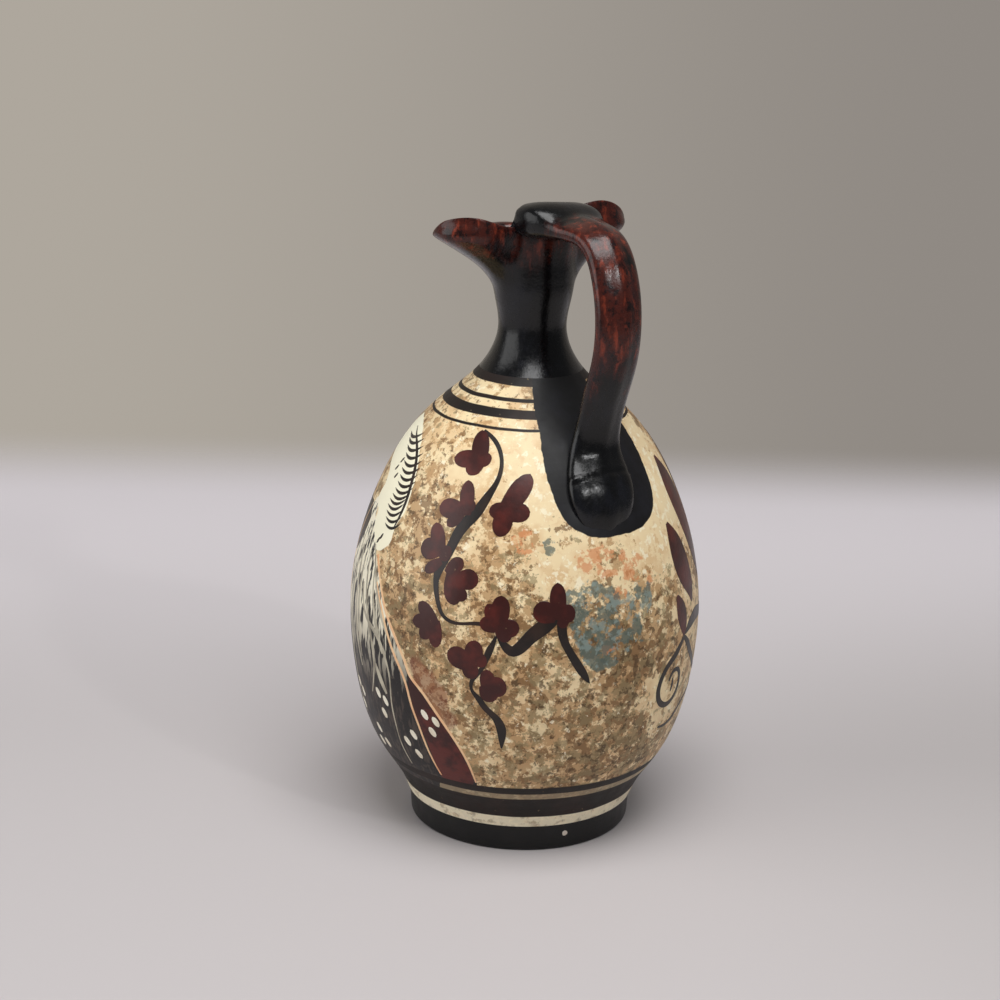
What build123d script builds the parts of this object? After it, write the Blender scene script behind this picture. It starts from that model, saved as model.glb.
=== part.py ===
# Oinochoe: a small painted wine jug with a trefoil mouth and one strap handle.
# Five clay members are luted together with slip: foot ring, body, neck, mouth and handle.
# Frame: +Z up, base plane at z = 0, vessel axis on Z, handle towards +X, pouring lobe towards -X.
import os
from math import copysign, cos, exp, radians, sin

from build123d import *

# Foot ring: it stands a step inside the body's underside and narrows a little downwards
foot_step = 0.5
foot_taper = 0.5
foot_width = 7.4
foot_height = 6.5
foot_edge_round = 0.8

# Luting slip, the layer of liquid clay that joins two members
slip = 0.5

# Body and neck outline: radius of each station, and its height above the body's underside
base_radius = 28.9
cove_radius = 30.7
cove_rise = 4.2
hip_radius = 36.3
hip_rise = 13.0
flank_radius = 43.2
flank_rise = 35.5
belly_radius = 43.9
belly_rise = 53.0
shoulder_radius = 37.9
shoulder_rise = 78.0
slope_radius = 29.0
slope_rise = 94.2
drop_radius = 21.9
drop_rise = 101.7
collar_radius = 13.4
collar_rise = 109.3
throat_radius = 8.4
throat_rise = 120.5
neck_top_radius = 9.2
neck_top_rise = 126.5

# Wall of the body and neck, measured level, floor of the body, and where body and neck meet
wall = 3.2
floor = 4.5
neck_joint_rise = 109.6

# Mouth: height of each station above the neck, reach of its side lobes, radius of its pinches
cup_rise = 4.0
cup_lobe = 11.3
cup_pinch = 9.7
flare_rise = 9.2
flare_lobe = 17.4
flare_pinch = 9.8
spread_rise = 12.6
spread_lobe = 22.8
spread_pinch = 10.0
lip_rise = 15.2
lip_lobe = 25.9
lip_pinch = 10.2
brim_rise = 17.6
brim_lobe = 26.9
brim_pinch = 10.3
roll_rise = 20.5
roll_lobe = 25.8
roll_pinch = 10.3
blank_rise = 29.0
blank_lobe = 22.0
blank_pinch = 10.3

# Mouth: thickness of the lip, wall at the pinches, and the trefoil's plan
lip_thickness = 2.3
lip_inset = 1.2
pinch_wall = 2.5
left_lobe_angle = 96.0
right_lobe_angle = 90.0
lobe_spread = 31.0
lobe_fullness = 3.0
front_lobe_share = 0.74
right_lobe_share = 0.86
trefoil_points = 24

# Rim, seen from the side: how far each station stands out towards the handle, and its rise over
# the neck, from the low pouring lobe to the back; a notch at the left of the handle's saddle, and
# a wide dip over the right lobe
rim_rise = 23.2
front_rim_rise = 15.8
climb_start_out = -9.0
climb_out = -5.6
climb_rise = 17.3
side_rim_out = -2.7
side_rim_rise = 19.7
axis_rim_rise = 21.1
back_rim_out = 3.5
back_rim_rise = 22.2
climb_end_out = 9.0
notch_angle = -60.0
notch_rise = 19.2
notch_radius = 4.2
dip_angle = 90.0
dip_rise = 18.2
dip_radius = 13.0
rim_margin = 3.0

# Handle: a strap with a ridge down its outer face, wide where it sits on the mouth
strap_width = 12.4
strap_thickness = 5.4
strap_ridge = 0.7
strap_ridge_share = 0.33
strap_roundness = 2.4
strap_points = 12
saddle_width = 22.6
saddle_thickness = 8.6
crest_width = 15.5
crest_thickness = 5.8

# Handle's centre line: how far it stands out from the axis, and drops below the crown of the strap
crown_over_rim = 2.4
seat_out = 6.0
seat_drop = 5.6
saddle_out = 11.5
saddle_drop = 4.9
crest_out = 17.3
crest_drop = 5.0
bend_out = 27.7
bend_drop = 7.4
upper_out = 33.1
upper_drop = 15.2
reach_out = 34.9
reach_drop = 23.9
lower_out = 34.1
lower_drop = 33.9
bow_out = 31.4
bow_drop = 41.9
waist_out = 28.8
waist_drop = 49.9

# Handle's lower end: a tongue spread on the shoulder, leaning a little to one side;
# relief is how far its outer face stands proud of the wall
heel_drop = 57.9
heel_relief = 2.9
heel_width = 14.8
tongue_drop = 65.4
tongue_relief = 2.3
tongue_width = 18.0
toe_drop = 71.4
toe_relief = 0.8
toe_width = 15.0
toe_thickness = 4.5
tip_drop = 75.4
tip_sink = 2.0
tip_width = 8.0
tip_thickness = 3.0
tongue_lean = 1.8

# Levels and places that follow from the sizes above
foot_top_radius = base_radius - foot_step
foot_radius = foot_top_radius - foot_taper
foot_bore_radius = foot_top_radius - foot_width
body_base = foot_height + slip
body_floor = body_base + floor
neck_joint = body_base + neck_joint_rise
neck_top = body_base + neck_top_rise
mouth_base = neck_top + slip
rim_height = mouth_base + rim_rise
above_all = mouth_base + blank_rise + rim_margin
rim_span = brim_lobe + rim_margin
full_turn = 360.0
halvings = 30

wall_stations = [
    (base_radius, 0.0),
    (cove_radius, cove_rise),
    (hip_radius, hip_rise),
    (flank_radius, flank_rise),
    (belly_radius, belly_rise),
    (shoulder_radius, shoulder_rise),
    (slope_radius, slope_rise),
    (drop_radius, drop_rise),
    (collar_radius, collar_rise),
    (throat_radius, throat_rise),
    (neck_top_radius, neck_top_rise),
]

mouth_stations = [
    (0.0, neck_top_radius, neck_top_radius),
    (cup_rise, cup_lobe, cup_pinch),
    (flare_rise, flare_lobe, flare_pinch),
    (spread_rise, spread_lobe, spread_pinch),
    (lip_rise, lip_lobe, lip_pinch),
    (brim_rise, brim_lobe, brim_pinch),
    (roll_rise, roll_lobe, roll_pinch),
    (blank_rise, blank_lobe, blank_pinch),
]

rim_notches = [
    (notch_angle, notch_rise, notch_radius),
    (dip_angle, dip_rise, dip_radius),
]


def wall_profile(inset):
    """Half section between the axis and the wall's outline, moved level inwards by inset."""
    with BuildSketch() as profile:
        with BuildLine():
            side = Spline(*[(radius - inset, body_base + rise) for radius, rise in wall_stations])
            Polyline(side @ 1, (0, (side @ 1).Y), (0, (side @ 0).Y), side @ 0)
        make_face()
    return profile.sketch


def wall_radius(height):
    """Outer radius of the body and neck at a height, found by halving along the outline."""
    side = Edge.make_spline([Vector(radius, body_base + rise) for radius, rise in wall_stations])
    low, high = 0.0, 1.0
    for _ in range(halvings):
        middle = (low + high) / 2
        if (side @ middle).Y < height:
            low = middle
        else:
            high = middle
    return (side @ low).X


def vessel_blank(growth):
    """Body and neck without their hollow, grown level by growth."""
    with BuildPart() as blank:
        with BuildSketch(Plane.XZ):
            add(wall_profile(-growth))
        revolve(axis=Axis.Z)
    return blank.part


def level_band(low, high):
    """Flat region between two heights, wider than the half section."""
    with BuildSketch() as band:
        with Locations((0, low)):
            Rectangle(2 * belly_radius, high - low, align=(Align.MIN, Align.MIN))
    return band.sketch


def wall_section(low, high):
    """Half section of the wall between two heights, hollow above the body's floor."""
    with BuildSketch() as hollow:
        add(wall_profile(wall))
        add(level_band(body_floor, rim_height), mode=Mode.INTERSECT)
    with BuildSketch() as section:
        add(wall_profile(0))
        add(hollow.sketch, mode=Mode.SUBTRACT)
        add(level_band(low, high), mode=Mode.INTERSECT)
    return section.sketch


def turn_between(angle, centre):
    """Smallest turn in degrees from a centre to an angle."""
    half_turn = full_turn / 2
    return (angle - centre + half_turn) % full_turn - half_turn


def swelling(angle, centre):
    """Share of a lobe's full reach at an angle, one at the lobe's centre."""
    return exp(-(abs(turn_between(angle, centre) / lobe_spread) ** lobe_fullness))


def trefoil(lobe, pinch):
    """Points of a three-lobed outline, starting at the handle's side."""
    points = []
    for step in range(trefoil_points):
        angle = full_turn * step / trefoil_points
        sides = swelling(angle, -left_lobe_angle) + right_lobe_share * swelling(angle, right_lobe_angle)
        front = front_lobe_share * swelling(angle, full_turn / 2)
        radius = pinch + (lobe - pinch) * (sides + front)
        points.append((radius * cos(radians(angle)), radius * sin(radians(angle))))
    return points


def trefoil_loft(levels):
    """Solid through three-lobed outlines, given as height, lobe reach and pinch radius."""
    with BuildPart() as solid:
        for height, lobe, pinch in levels:
            with BuildSketch(Plane.XY.offset(height)):
                with BuildLine():
                    Spline(*trefoil(lobe, pinch), periodic=True)
                make_face()
        loft()
    return solid.part


def mouth_blank(growth):
    """Mouth without its hollow and before the rim is trimmed, grown level by growth."""
    return trefoil_loft(
        [(mouth_base + rise, lobe + growth, pinch + growth) for rise, lobe, pinch in mouth_stations]
    )


def mouth_hollow():
    """Space inside the mouth: the neck's bore below, the lip's thickness under the lobes above."""
    levels = [(mouth_base, neck_top_radius - wall, neck_top_radius - wall)]
    for rise, lobe, pinch in mouth_stations[1:]:
        levels.append((mouth_base + rise + lip_thickness, lobe - lip_inset, pinch - pinch_wall))
    return trefoil_loft(levels)


def rim_cutter():
    """What lies above the rim: low over the pouring lobe, climbing towards the handle."""
    climb_stations = [
        (climb_start_out, mouth_base + front_rim_rise),
        (climb_out, mouth_base + climb_rise),
        (side_rim_out, mouth_base + side_rim_rise),
        (0, mouth_base + axis_rim_rise),
        (back_rim_out, mouth_base + back_rim_rise),
        (climb_end_out, rim_height),
    ]
    with BuildPart() as cutter:
        with BuildSketch(Plane.XZ):
            with BuildLine():
                climb = Spline(*climb_stations, tangents=[(1, 0), (1, 0)])
                Polyline(
                    climb @ 1,
                    (rim_span, rim_height),
                    (rim_span, above_all),
                    (-rim_span, above_all),
                    (-rim_span, mouth_base + front_rim_rise),
                    climb @ 0,
                )
            make_face()
        extrude(amount=rim_span, both=True)
    return cutter.part


def strap_section(width, thickness, ridge):
    """Points of the strap's section: a flattened oval with a soft ridge on its outer face."""
    points = []
    power = 2 / strap_roundness
    for step in range(strap_points):
        angle = radians(full_turn * step / strap_points)
        across = copysign(abs(cos(angle)) ** power, cos(angle)) * width / 2
        out = copysign(abs(sin(angle)) ** power, sin(angle)) * thickness / 2
        if out > 0:
            out += ridge * exp(-((across / (strap_ridge_share * width / 2)) ** 2))
        points.append((across, out))
    return points


def strap_route():
    """Centre (x, y, z), width and thickness of the strap at its stations, mouth to shoulder."""
    crown = rim_height + crown_over_rim
    free = [
        (seat_out, seat_drop, saddle_width, saddle_thickness),
        (saddle_out, saddle_drop, saddle_width, saddle_thickness),
        (crest_out, crest_drop, crest_width, crest_thickness),
        (bend_out, bend_drop, strap_width, strap_thickness),
        (upper_out, upper_drop, strap_width, strap_thickness),
        (reach_out, reach_drop, strap_width, strap_thickness),
        (lower_out, lower_drop, strap_width, strap_thickness),
        (bow_out, bow_drop, strap_width, strap_thickness),
        (waist_out, waist_drop, strap_width, strap_thickness),
    ]
    luted = [
        (heel_drop, heel_relief, heel_width, strap_thickness),
        (tongue_drop, tongue_relief, tongue_width, strap_thickness),
        (toe_drop, toe_relief, toe_width, toe_thickness),
        (tip_drop, -tip_sink, tip_width, tip_thickness),
    ]
    route = [(out, 0.0, crown - drop, width, thickness) for out, drop, width, thickness in free]
    for drop, relief, width, thickness in luted:
        height = crown - drop
        out = wall_radius(height) + relief - thickness / 2
        lean = tongue_lean * min(1.0, (drop - waist_drop) / (tongue_drop - waist_drop))
        route.append((out, -lean, height, width, thickness))
    return route


def strap_blank():
    """The whole strap before it is cut to the mouth and to the shoulder."""
    route = strap_route()
    last = len(route) - 1
    with BuildPart() as blank:
        for place, (x, y, z, width, thickness) in enumerate(route):
            before = route[max(place - 1, 0)]
            after = route[min(place + 1, last)]
            along = (after[0] - before[0], 0, after[2] - before[2])
            with BuildSketch(Plane(origin=(x, y, z), x_dir=(0, 1, 0), z_dir=along)):
                with BuildLine():
                    Spline(*strap_section(width, thickness, strap_ridge), periodic=True)
                make_face()
        loft()
    return blank.part


# Blanks that more than one piece is cut from or cut by
body_blank = vessel_blank(0)
body_and_slip = vessel_blank(slip)
mouth_solid = mouth_blank(0)
mouth_and_slip = mouth_blank(slip)
above_rim = rim_cutter()
strap = strap_blank()

# Foot ring: a turned ring that the jug stands on
with BuildPart() as foot_ring:
    with BuildSketch(Plane.XZ):
        with BuildLine():
            Polyline(
                (foot_bore_radius, 0),
                (foot_radius, 0),
                (foot_top_radius, foot_height),
                (foot_bore_radius, foot_height),
                close=True,
            )
        make_face()
    revolve(axis=Axis.Z)
    fillet(foot_ring.edges().group_by(Axis.Z)[0], radius=foot_edge_round)

# Slip ring between foot and body
with BuildPart() as foot_luting_slip:
    with BuildSketch(Plane.XY.offset(foot_height)):
        Circle(foot_top_radius)
        Circle(foot_bore_radius, mode=Mode.SUBTRACT)
    extrude(amount=slip)

# Body: floor, belly and shoulder in one thrown shell
with BuildPart() as body_shell:
    with BuildSketch(Plane.XZ):
        add(wall_section(body_base, neck_joint))
    revolve(axis=Axis.Z)

# Slip ring between body and neck
with BuildPart() as neck_luting_slip:
    with BuildSketch(Plane.XZ):
        add(wall_section(neck_joint, neck_joint + slip))
    revolve(axis=Axis.Z)

# Neck: a waisted tube
with BuildPart() as neck:
    with BuildSketch(Plane.XZ):
        add(wall_section(neck_joint + slip, neck_top))
    revolve(axis=Axis.Z)

# Slip ring between neck and mouth
with BuildPart() as mouth_luting_slip:
    with BuildSketch(Plane.XY.offset(neck_top)):
        Circle(neck_top_radius)
        Circle(neck_top_radius - wall, mode=Mode.SUBTRACT)
    extrude(amount=slip)

# Mouth: three flaring lobes with two front pinches, the rim turned up towards the handle
with BuildPart() as trefoil_mouth:
    add(mouth_solid)
    add(mouth_hollow(), mode=Mode.SUBTRACT)
    add(above_rim, mode=Mode.SUBTRACT)
    for angle, rise, radius in rim_notches:
        outward = (cos(radians(angle)), sin(radians(angle)), 0)
        centre = (0, 0, mouth_base + rise + radius)
        with BuildSketch(Plane(origin=centre, x_dir=(0, 0, 1), z_dir=outward)):
            Circle(radius)
        extrude(amount=rim_span, mode=Mode.SUBTRACT)

# Handle: the strap outside the mouth and outside the shoulder
with BuildPart() as handle:
    add(strap)
    add(mouth_and_slip, mode=Mode.SUBTRACT)
    add(body_and_slip, mode=Mode.SUBTRACT)

# Slip under the handle's saddle, on the back of the mouth
with BuildPart() as handle_top_luting_slip:
    add(strap)
    add(above_rim, mode=Mode.SUBTRACT)
    add(mouth_solid, mode=Mode.SUBTRACT)
    add(mouth_and_slip, mode=Mode.INTERSECT)

# Slip under the handle's tongue, on the shoulder
with BuildPart() as handle_root_luting_slip:
    add(strap)
    add(body_and_slip, mode=Mode.INTERSECT)
    add(body_blank, mode=Mode.SUBTRACT)

pieces = {
    "foot_ring": foot_ring,
    "foot_luting_slip": foot_luting_slip,
    "body_shell": body_shell,
    "neck_luting_slip": neck_luting_slip,
    "neck": neck,
    "mouth_luting_slip": mouth_luting_slip,
    "trefoil_mouth": trefoil_mouth,
    "handle": handle,
    "handle_top_luting_slip": handle_top_luting_slip,
    "handle_root_luting_slip": handle_root_luting_slip,
}

os.makedirs("parts", exist_ok=True)
for name, piece in pieces.items():
    piece.part.label = name
    export_step(piece.part, f"parts/{name}.step")
    print(name, len(piece.part.solids()), round(piece.part.volume, 1))
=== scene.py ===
"""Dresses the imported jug: turned clay members, a trefoil mouth, a strap handle and slip-painted ornament.

All sizes in the classes are millimetres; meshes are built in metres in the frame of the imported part.
A bearing is measured round the jug in degrees, from the side that faces the viewer, rising to the viewer's right.
"""

import logging
import math
from dataclasses import dataclass, field
from enum import Enum
from typing import Any, Iterable, Sequence

import bpy
import numpy as np
from mathutils import Matrix, Vector


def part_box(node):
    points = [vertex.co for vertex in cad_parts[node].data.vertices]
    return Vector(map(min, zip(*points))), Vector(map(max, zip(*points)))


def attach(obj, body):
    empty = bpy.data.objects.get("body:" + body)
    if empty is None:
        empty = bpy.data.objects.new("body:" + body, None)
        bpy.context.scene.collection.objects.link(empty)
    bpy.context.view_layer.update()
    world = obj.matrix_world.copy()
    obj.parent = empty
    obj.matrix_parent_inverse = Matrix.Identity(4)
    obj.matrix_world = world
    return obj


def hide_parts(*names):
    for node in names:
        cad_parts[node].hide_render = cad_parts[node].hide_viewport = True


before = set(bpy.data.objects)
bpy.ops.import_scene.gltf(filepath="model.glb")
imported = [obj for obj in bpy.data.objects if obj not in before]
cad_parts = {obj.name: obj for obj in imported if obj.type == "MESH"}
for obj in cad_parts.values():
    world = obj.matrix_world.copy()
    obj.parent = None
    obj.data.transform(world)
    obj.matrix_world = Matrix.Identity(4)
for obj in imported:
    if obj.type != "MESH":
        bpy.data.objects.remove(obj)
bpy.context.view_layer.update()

MM = 0.001
BODY = "root"
VIEW_TURN = 56.0
WELD = 0.002
FILM_SIDE = 0.02
CLAY_SHARP = 50.0
FILM_SHARP = 4.0
LOG = logging.getLogger("jug")
Colour = tuple[float, float, float, float]
Spot = tuple[float, float]
Patch = tuple[float, float, float]


def linked(name: str, data: bpy.types.ID) -> bpy.types.Object:
    """A new object with its data, linked to the scene."""
    obj = bpy.data.objects.new(name, data)
    bpy.context.scene.collection.objects.link(obj)
    return obj


def paint(red: float, green: float, blue: float) -> Colour:
    """Linear colour from screen values of 0 to 255.

    Args:
        red: screen red.
        green: screen green.
        blue: screen blue.

    Returns:
        The linear colour with full alpha.
    """
    parts = [c / 255 for c in (red, green, blue)]
    low_end = [c / 12.92 if c <= 0.04045 else ((c + 0.055) / 1.055) ** 2.4 for c in parts]
    return (low_end[0], low_end[1], low_end[2], 1.0)


def smooth_curve(points: Sequence[Sequence[float]], count: int) -> np.ndarray:
    """Points along a natural cubic spline through the given points, spaced by chord length.

    Args:
        points: rows of coordinates that the curve passes through.
        count: how many points to return.

    Returns:
        An array of count rows.
    """
    knots = np.asarray(points, float)
    chords = np.linalg.norm(np.diff(knots, axis=0), axis=1)
    along = np.concatenate([[0.0], np.cumsum(chords)])
    size = len(knots)
    system = np.eye(size)
    right = np.zeros_like(knots)
    for k in range(1, size - 1):
        before, after = chords[k - 1], chords[k]
        system[k, k - 1 : k + 2] = before, 2 * (before + after), after
        right[k] = 6 * ((knots[k + 1] - knots[k]) / after - (knots[k] - knots[k - 1]) / before)
    bend = np.linalg.solve(system, right)
    place = np.linspace(0.0, along[-1], count)
    k = np.clip(np.searchsorted(along, place, side="right") - 1, 0, size - 2)
    span = chords[k][:, None]
    a = (along[k + 1] - place)[:, None]
    b = (place - along[k])[:, None]
    curve = bend[k] * a**3 / (6 * span) + bend[k + 1] * b**3 / (6 * span)
    curve += (knots[k] / span - bend[k] * span / 6) * a
    curve += (knots[k + 1] / span - bend[k + 1] * span / 6) * b
    return curve


def soft_step(value: np.ndarray, low: float, high: float) -> np.ndarray:
    """Smooth rise from 0 at low to 1 at high.

    Args:
        value: numbers to look at.
        low: where the rise starts.
        high: where it ends.

    Returns:
        Shares from 0 to 1.
    """
    t = np.clip((value - low) / (high - low), 0.0, 1.0)
    return t * t * (3 - 2 * t)


class Val:
    """A number socket that takes part in Python expressions, each adding its Math node."""

    def __init__(self, maker: "NodeMaker", socket: bpy.types.NodeSocket) -> None:
        """Keeps the socket and the maker of its tree."""
        self.maker = maker
        self.socket = socket

    def _math(self, operation: str, *terms: Any) -> "Val":
        """One Math node over the terms."""
        return self.maker.value("ShaderNodeMath", {"operation": operation}, dict(enumerate(terms)))

    def __add__(self, other: Any) -> "Val":
        """Sum."""
        return self._math("ADD", self, other)

    def __radd__(self, other: Any) -> "Val":
        """Sum with the number first."""
        return self._math("ADD", other, self)

    def __sub__(self, other: Any) -> "Val":
        """Difference."""
        return self._math("SUBTRACT", self, other)

    def __rsub__(self, other: Any) -> "Val":
        """Difference with the number first."""
        return self._math("SUBTRACT", other, self)

    def __mul__(self, other: Any) -> "Val":
        """Product."""
        return self._math("MULTIPLY", self, other)

    def __rmul__(self, other: Any) -> "Val":
        """Product with the number first."""
        return self._math("MULTIPLY", other, self)

    def __truediv__(self, other: Any) -> "Val":
        """Quotient."""
        return self._math("DIVIDE", self, other)

    def __gt__(self, other: Any) -> "Val":
        """1 where this is greater, else 0."""
        return self._math("GREATER_THAN", self, other)

    def floor(self) -> "Val":
        """Whole number below."""
        return self._math("FLOOR", self)

    def cos(self) -> "Val":
        """Cosine."""
        return self._math("COSINE", self)

    def sin(self) -> "Val":
        """Sine."""
        return self._math("SINE", self)

    def top(self, other: Any) -> "Val":
        """The larger of two."""
        return self._math("MAXIMUM", self, other)

    def clip(self) -> "Val":
        """Kept between 0 and 1."""
        return self._math("MINIMUM", self._math("MAXIMUM", self, 0.0), 1.0)

    def rise(self, low: Any, high: Any) -> "Val":
        """Smooth rise from 0 at low to 1 at high.

        Args:
            low: where the rise starts.
            high: where it ends.

        Returns:
            The share.
        """
        inputs = {"Value": self, "From Min": low, "From Max": high}
        return self.maker.value("ShaderNodeMapRange", {"interpolation_type": "SMOOTHSTEP"}, inputs)

    def between(self, low: float, high: float, soft: float) -> "Val":
        """1 between two limits with soft edges.

        Args:
            low: lower limit.
            high: upper limit.
            soft: half the width of each edge.

        Returns:
            The share.
        """
        return self.rise(low - soft, low + soft) * (1 - self.rise(high - soft, high + soft))


class NodeMaker:
    """Adds nodes to one tree, shader or geometry."""

    def __init__(self, tree: bpy.types.NodeTree) -> None:
        """Keeps the tree."""
        self.tree = tree

    def make(self, kind: str, settings: dict | None = None, inputs: dict | None = None) -> bpy.types.Node:
        """One node with its settings made first and its sockets filled or linked.

        Args:
            kind: node type.
            settings: properties of the node.
            inputs: socket name or number to a value, a socket or a Val.

        Returns:
            The node.
        """
        node = self.tree.nodes.new(kind)
        for name, value in (settings or {}).items():
            setattr(node, name, value)
        for key, value in (inputs or {}).items():
            source = value.socket if isinstance(value, Val) else value
            if isinstance(source, bpy.types.NodeSocket):
                self.tree.links.new(source, node.inputs[key])
            else:
                node.inputs[key].default_value = source
        return node

    def value(self, kind: str, settings: dict | None = None, inputs: dict | None = None, output: Any = 0) -> Val:
        """One node's output as a number for expressions.

        Args:
            kind: node type.
            settings: properties of the node.
            inputs: socket values or links.
            output: which output.

        Returns:
            The output.
        """
        return Val(self, self.make(kind, settings, inputs).outputs[output])

    def vector(self, operation: str, *terms: Any) -> bpy.types.NodeSocket:
        """A Vector Math node's vector.

        Args:
            operation: name of the operation.
            terms: vectors, in order.

        Returns:
            The output socket.
        """
        node = self.make("ShaderNodeVectorMath", {"operation": operation}, dict(enumerate(terms)))
        return node.outputs["Vector"]

    def scaled(self, vector: Any, factor: Any) -> bpy.types.NodeSocket:
        """A vector times a number.

        Args:
            vector: vector socket.
            factor: number or socket.

        Returns:
            The output socket.
        """
        inputs = {0: vector, "Scale": factor}
        return self.make("ShaderNodeVectorMath", {"operation": "SCALE"}, inputs).outputs["Vector"]

    def mix(self, share: Any, first: Any, second: Any) -> bpy.types.NodeSocket:
        """Colour between two colours.

        Args:
            share: 0 for the first, 1 for the second.
            first: colour or socket.
            second: colour or socket.

        Returns:
            The colour socket.
        """
        node = self.make("ShaderNodeMix", {"data_type": "RGBA"}, {0: share, 6: first, 7: second})
        return node.outputs[2]


class ClayShader(NodeMaker):
    """Node tree of one ceramic material, with its places in millimetres."""

    def __init__(self, name: str) -> None:
        """Starts a material with one Principled shader.

        Args:
            name: material name.
        """
        self.material = bpy.data.materials.new(name)
        self.material.use_nodes = True
        super().__init__(self.material.node_tree)
        self.tree.nodes.clear()
        self.shader = self.make("ShaderNodeBsdfPrincipled")
        output = self.make("ShaderNodeOutputMaterial")
        self.tree.links.new(self.shader.outputs[0], output.inputs[0])
        coordinates = self.make("ShaderNodeTexCoord").outputs["Object"]
        self.place = self.scaled(coordinates, 1 / MM)
        apart = self.make("ShaderNodeSeparateXYZ", None, {0: self.place})
        self.x, self.y, self.z = (Val(self, apart.outputs[k]) for k in range(3))

    def noise(
        self,
        scale: float,
        detail: float = 3.0,
        rough: float = 0.55,
        shift: float = 0.0,
        stretch: Sequence[float] = (1, 1, 1),
    ) -> Val:
        """Noise over the piece.

        Args:
            scale: how many grains fit in a millimetre.
            detail: octaves.
            rough: strength of the finer octaves.
            shift: moves the pattern, so that two with one scale differ.
            stretch: grain counts along X, Y and Z, times scale.

        Returns:
            Values about 0.5.
        """
        offset = (shift, shift * 1.7, shift * 0.6)
        spread = {"Vector": self.place, "Location": offset, "Scale": tuple(stretch)}
        mapping = self.make("ShaderNodeMapping", None, spread)
        inputs = {"Vector": mapping.outputs[0], "Scale": scale, "Detail": detail, "Roughness": rough}
        return self.value("ShaderNodeTexNoise", None, inputs)

    def near(self, spot: Sequence[float], reach: float, soft: float) -> Val:
        """1 near a point of the surface, falling to 0.

        Args:
            spot: the point in millimetres.
            reach: distance where it reaches 0.
            soft: width of the fall.

        Returns:
            The share.
        """
        inputs = {0: self.place, 1: tuple(spot)}
        away = self.value("ShaderNodeVectorMath", {"operation": "DISTANCE"}, inputs, "Value")
        return 1 - away.rise(reach - soft, reach)

    def finish(self, colour: Any, rough: Any, height: Val, relief: float, coat: float) -> bpy.types.Material:
        """Links the surface to the shader.

        Args:
            colour: colour socket.
            rough: roughness socket.
            height: bump height from 0 to 1.
            relief: bump depth in millimetres.
            coat: weight of the clear varnish.

        Returns:
            The material.
        """
        self.tree.links.new(colour, self.shader.inputs["Base Color"])
        self.tree.links.new(rough.socket, self.shader.inputs["Roughness"])
        bump = self.make("ShaderNodeBump", None, {"Strength": 1.0, "Distance": relief * MM, "Height": height})
        self.tree.links.new(bump.outputs[0], self.shader.inputs["Normal"])
        self.shader.inputs["Coat Weight"].default_value = coat
        self.shader.inputs["Coat Roughness"].default_value = 0.22
        self.shader.inputs["IOR"].default_value = 1.38
        return self.material


@dataclass(frozen=True)
class Field:
    """A painted field of the body: the name of its point attribute and its outline in bearing and height."""

    name: str
    outline: tuple[Spot, ...]


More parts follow.
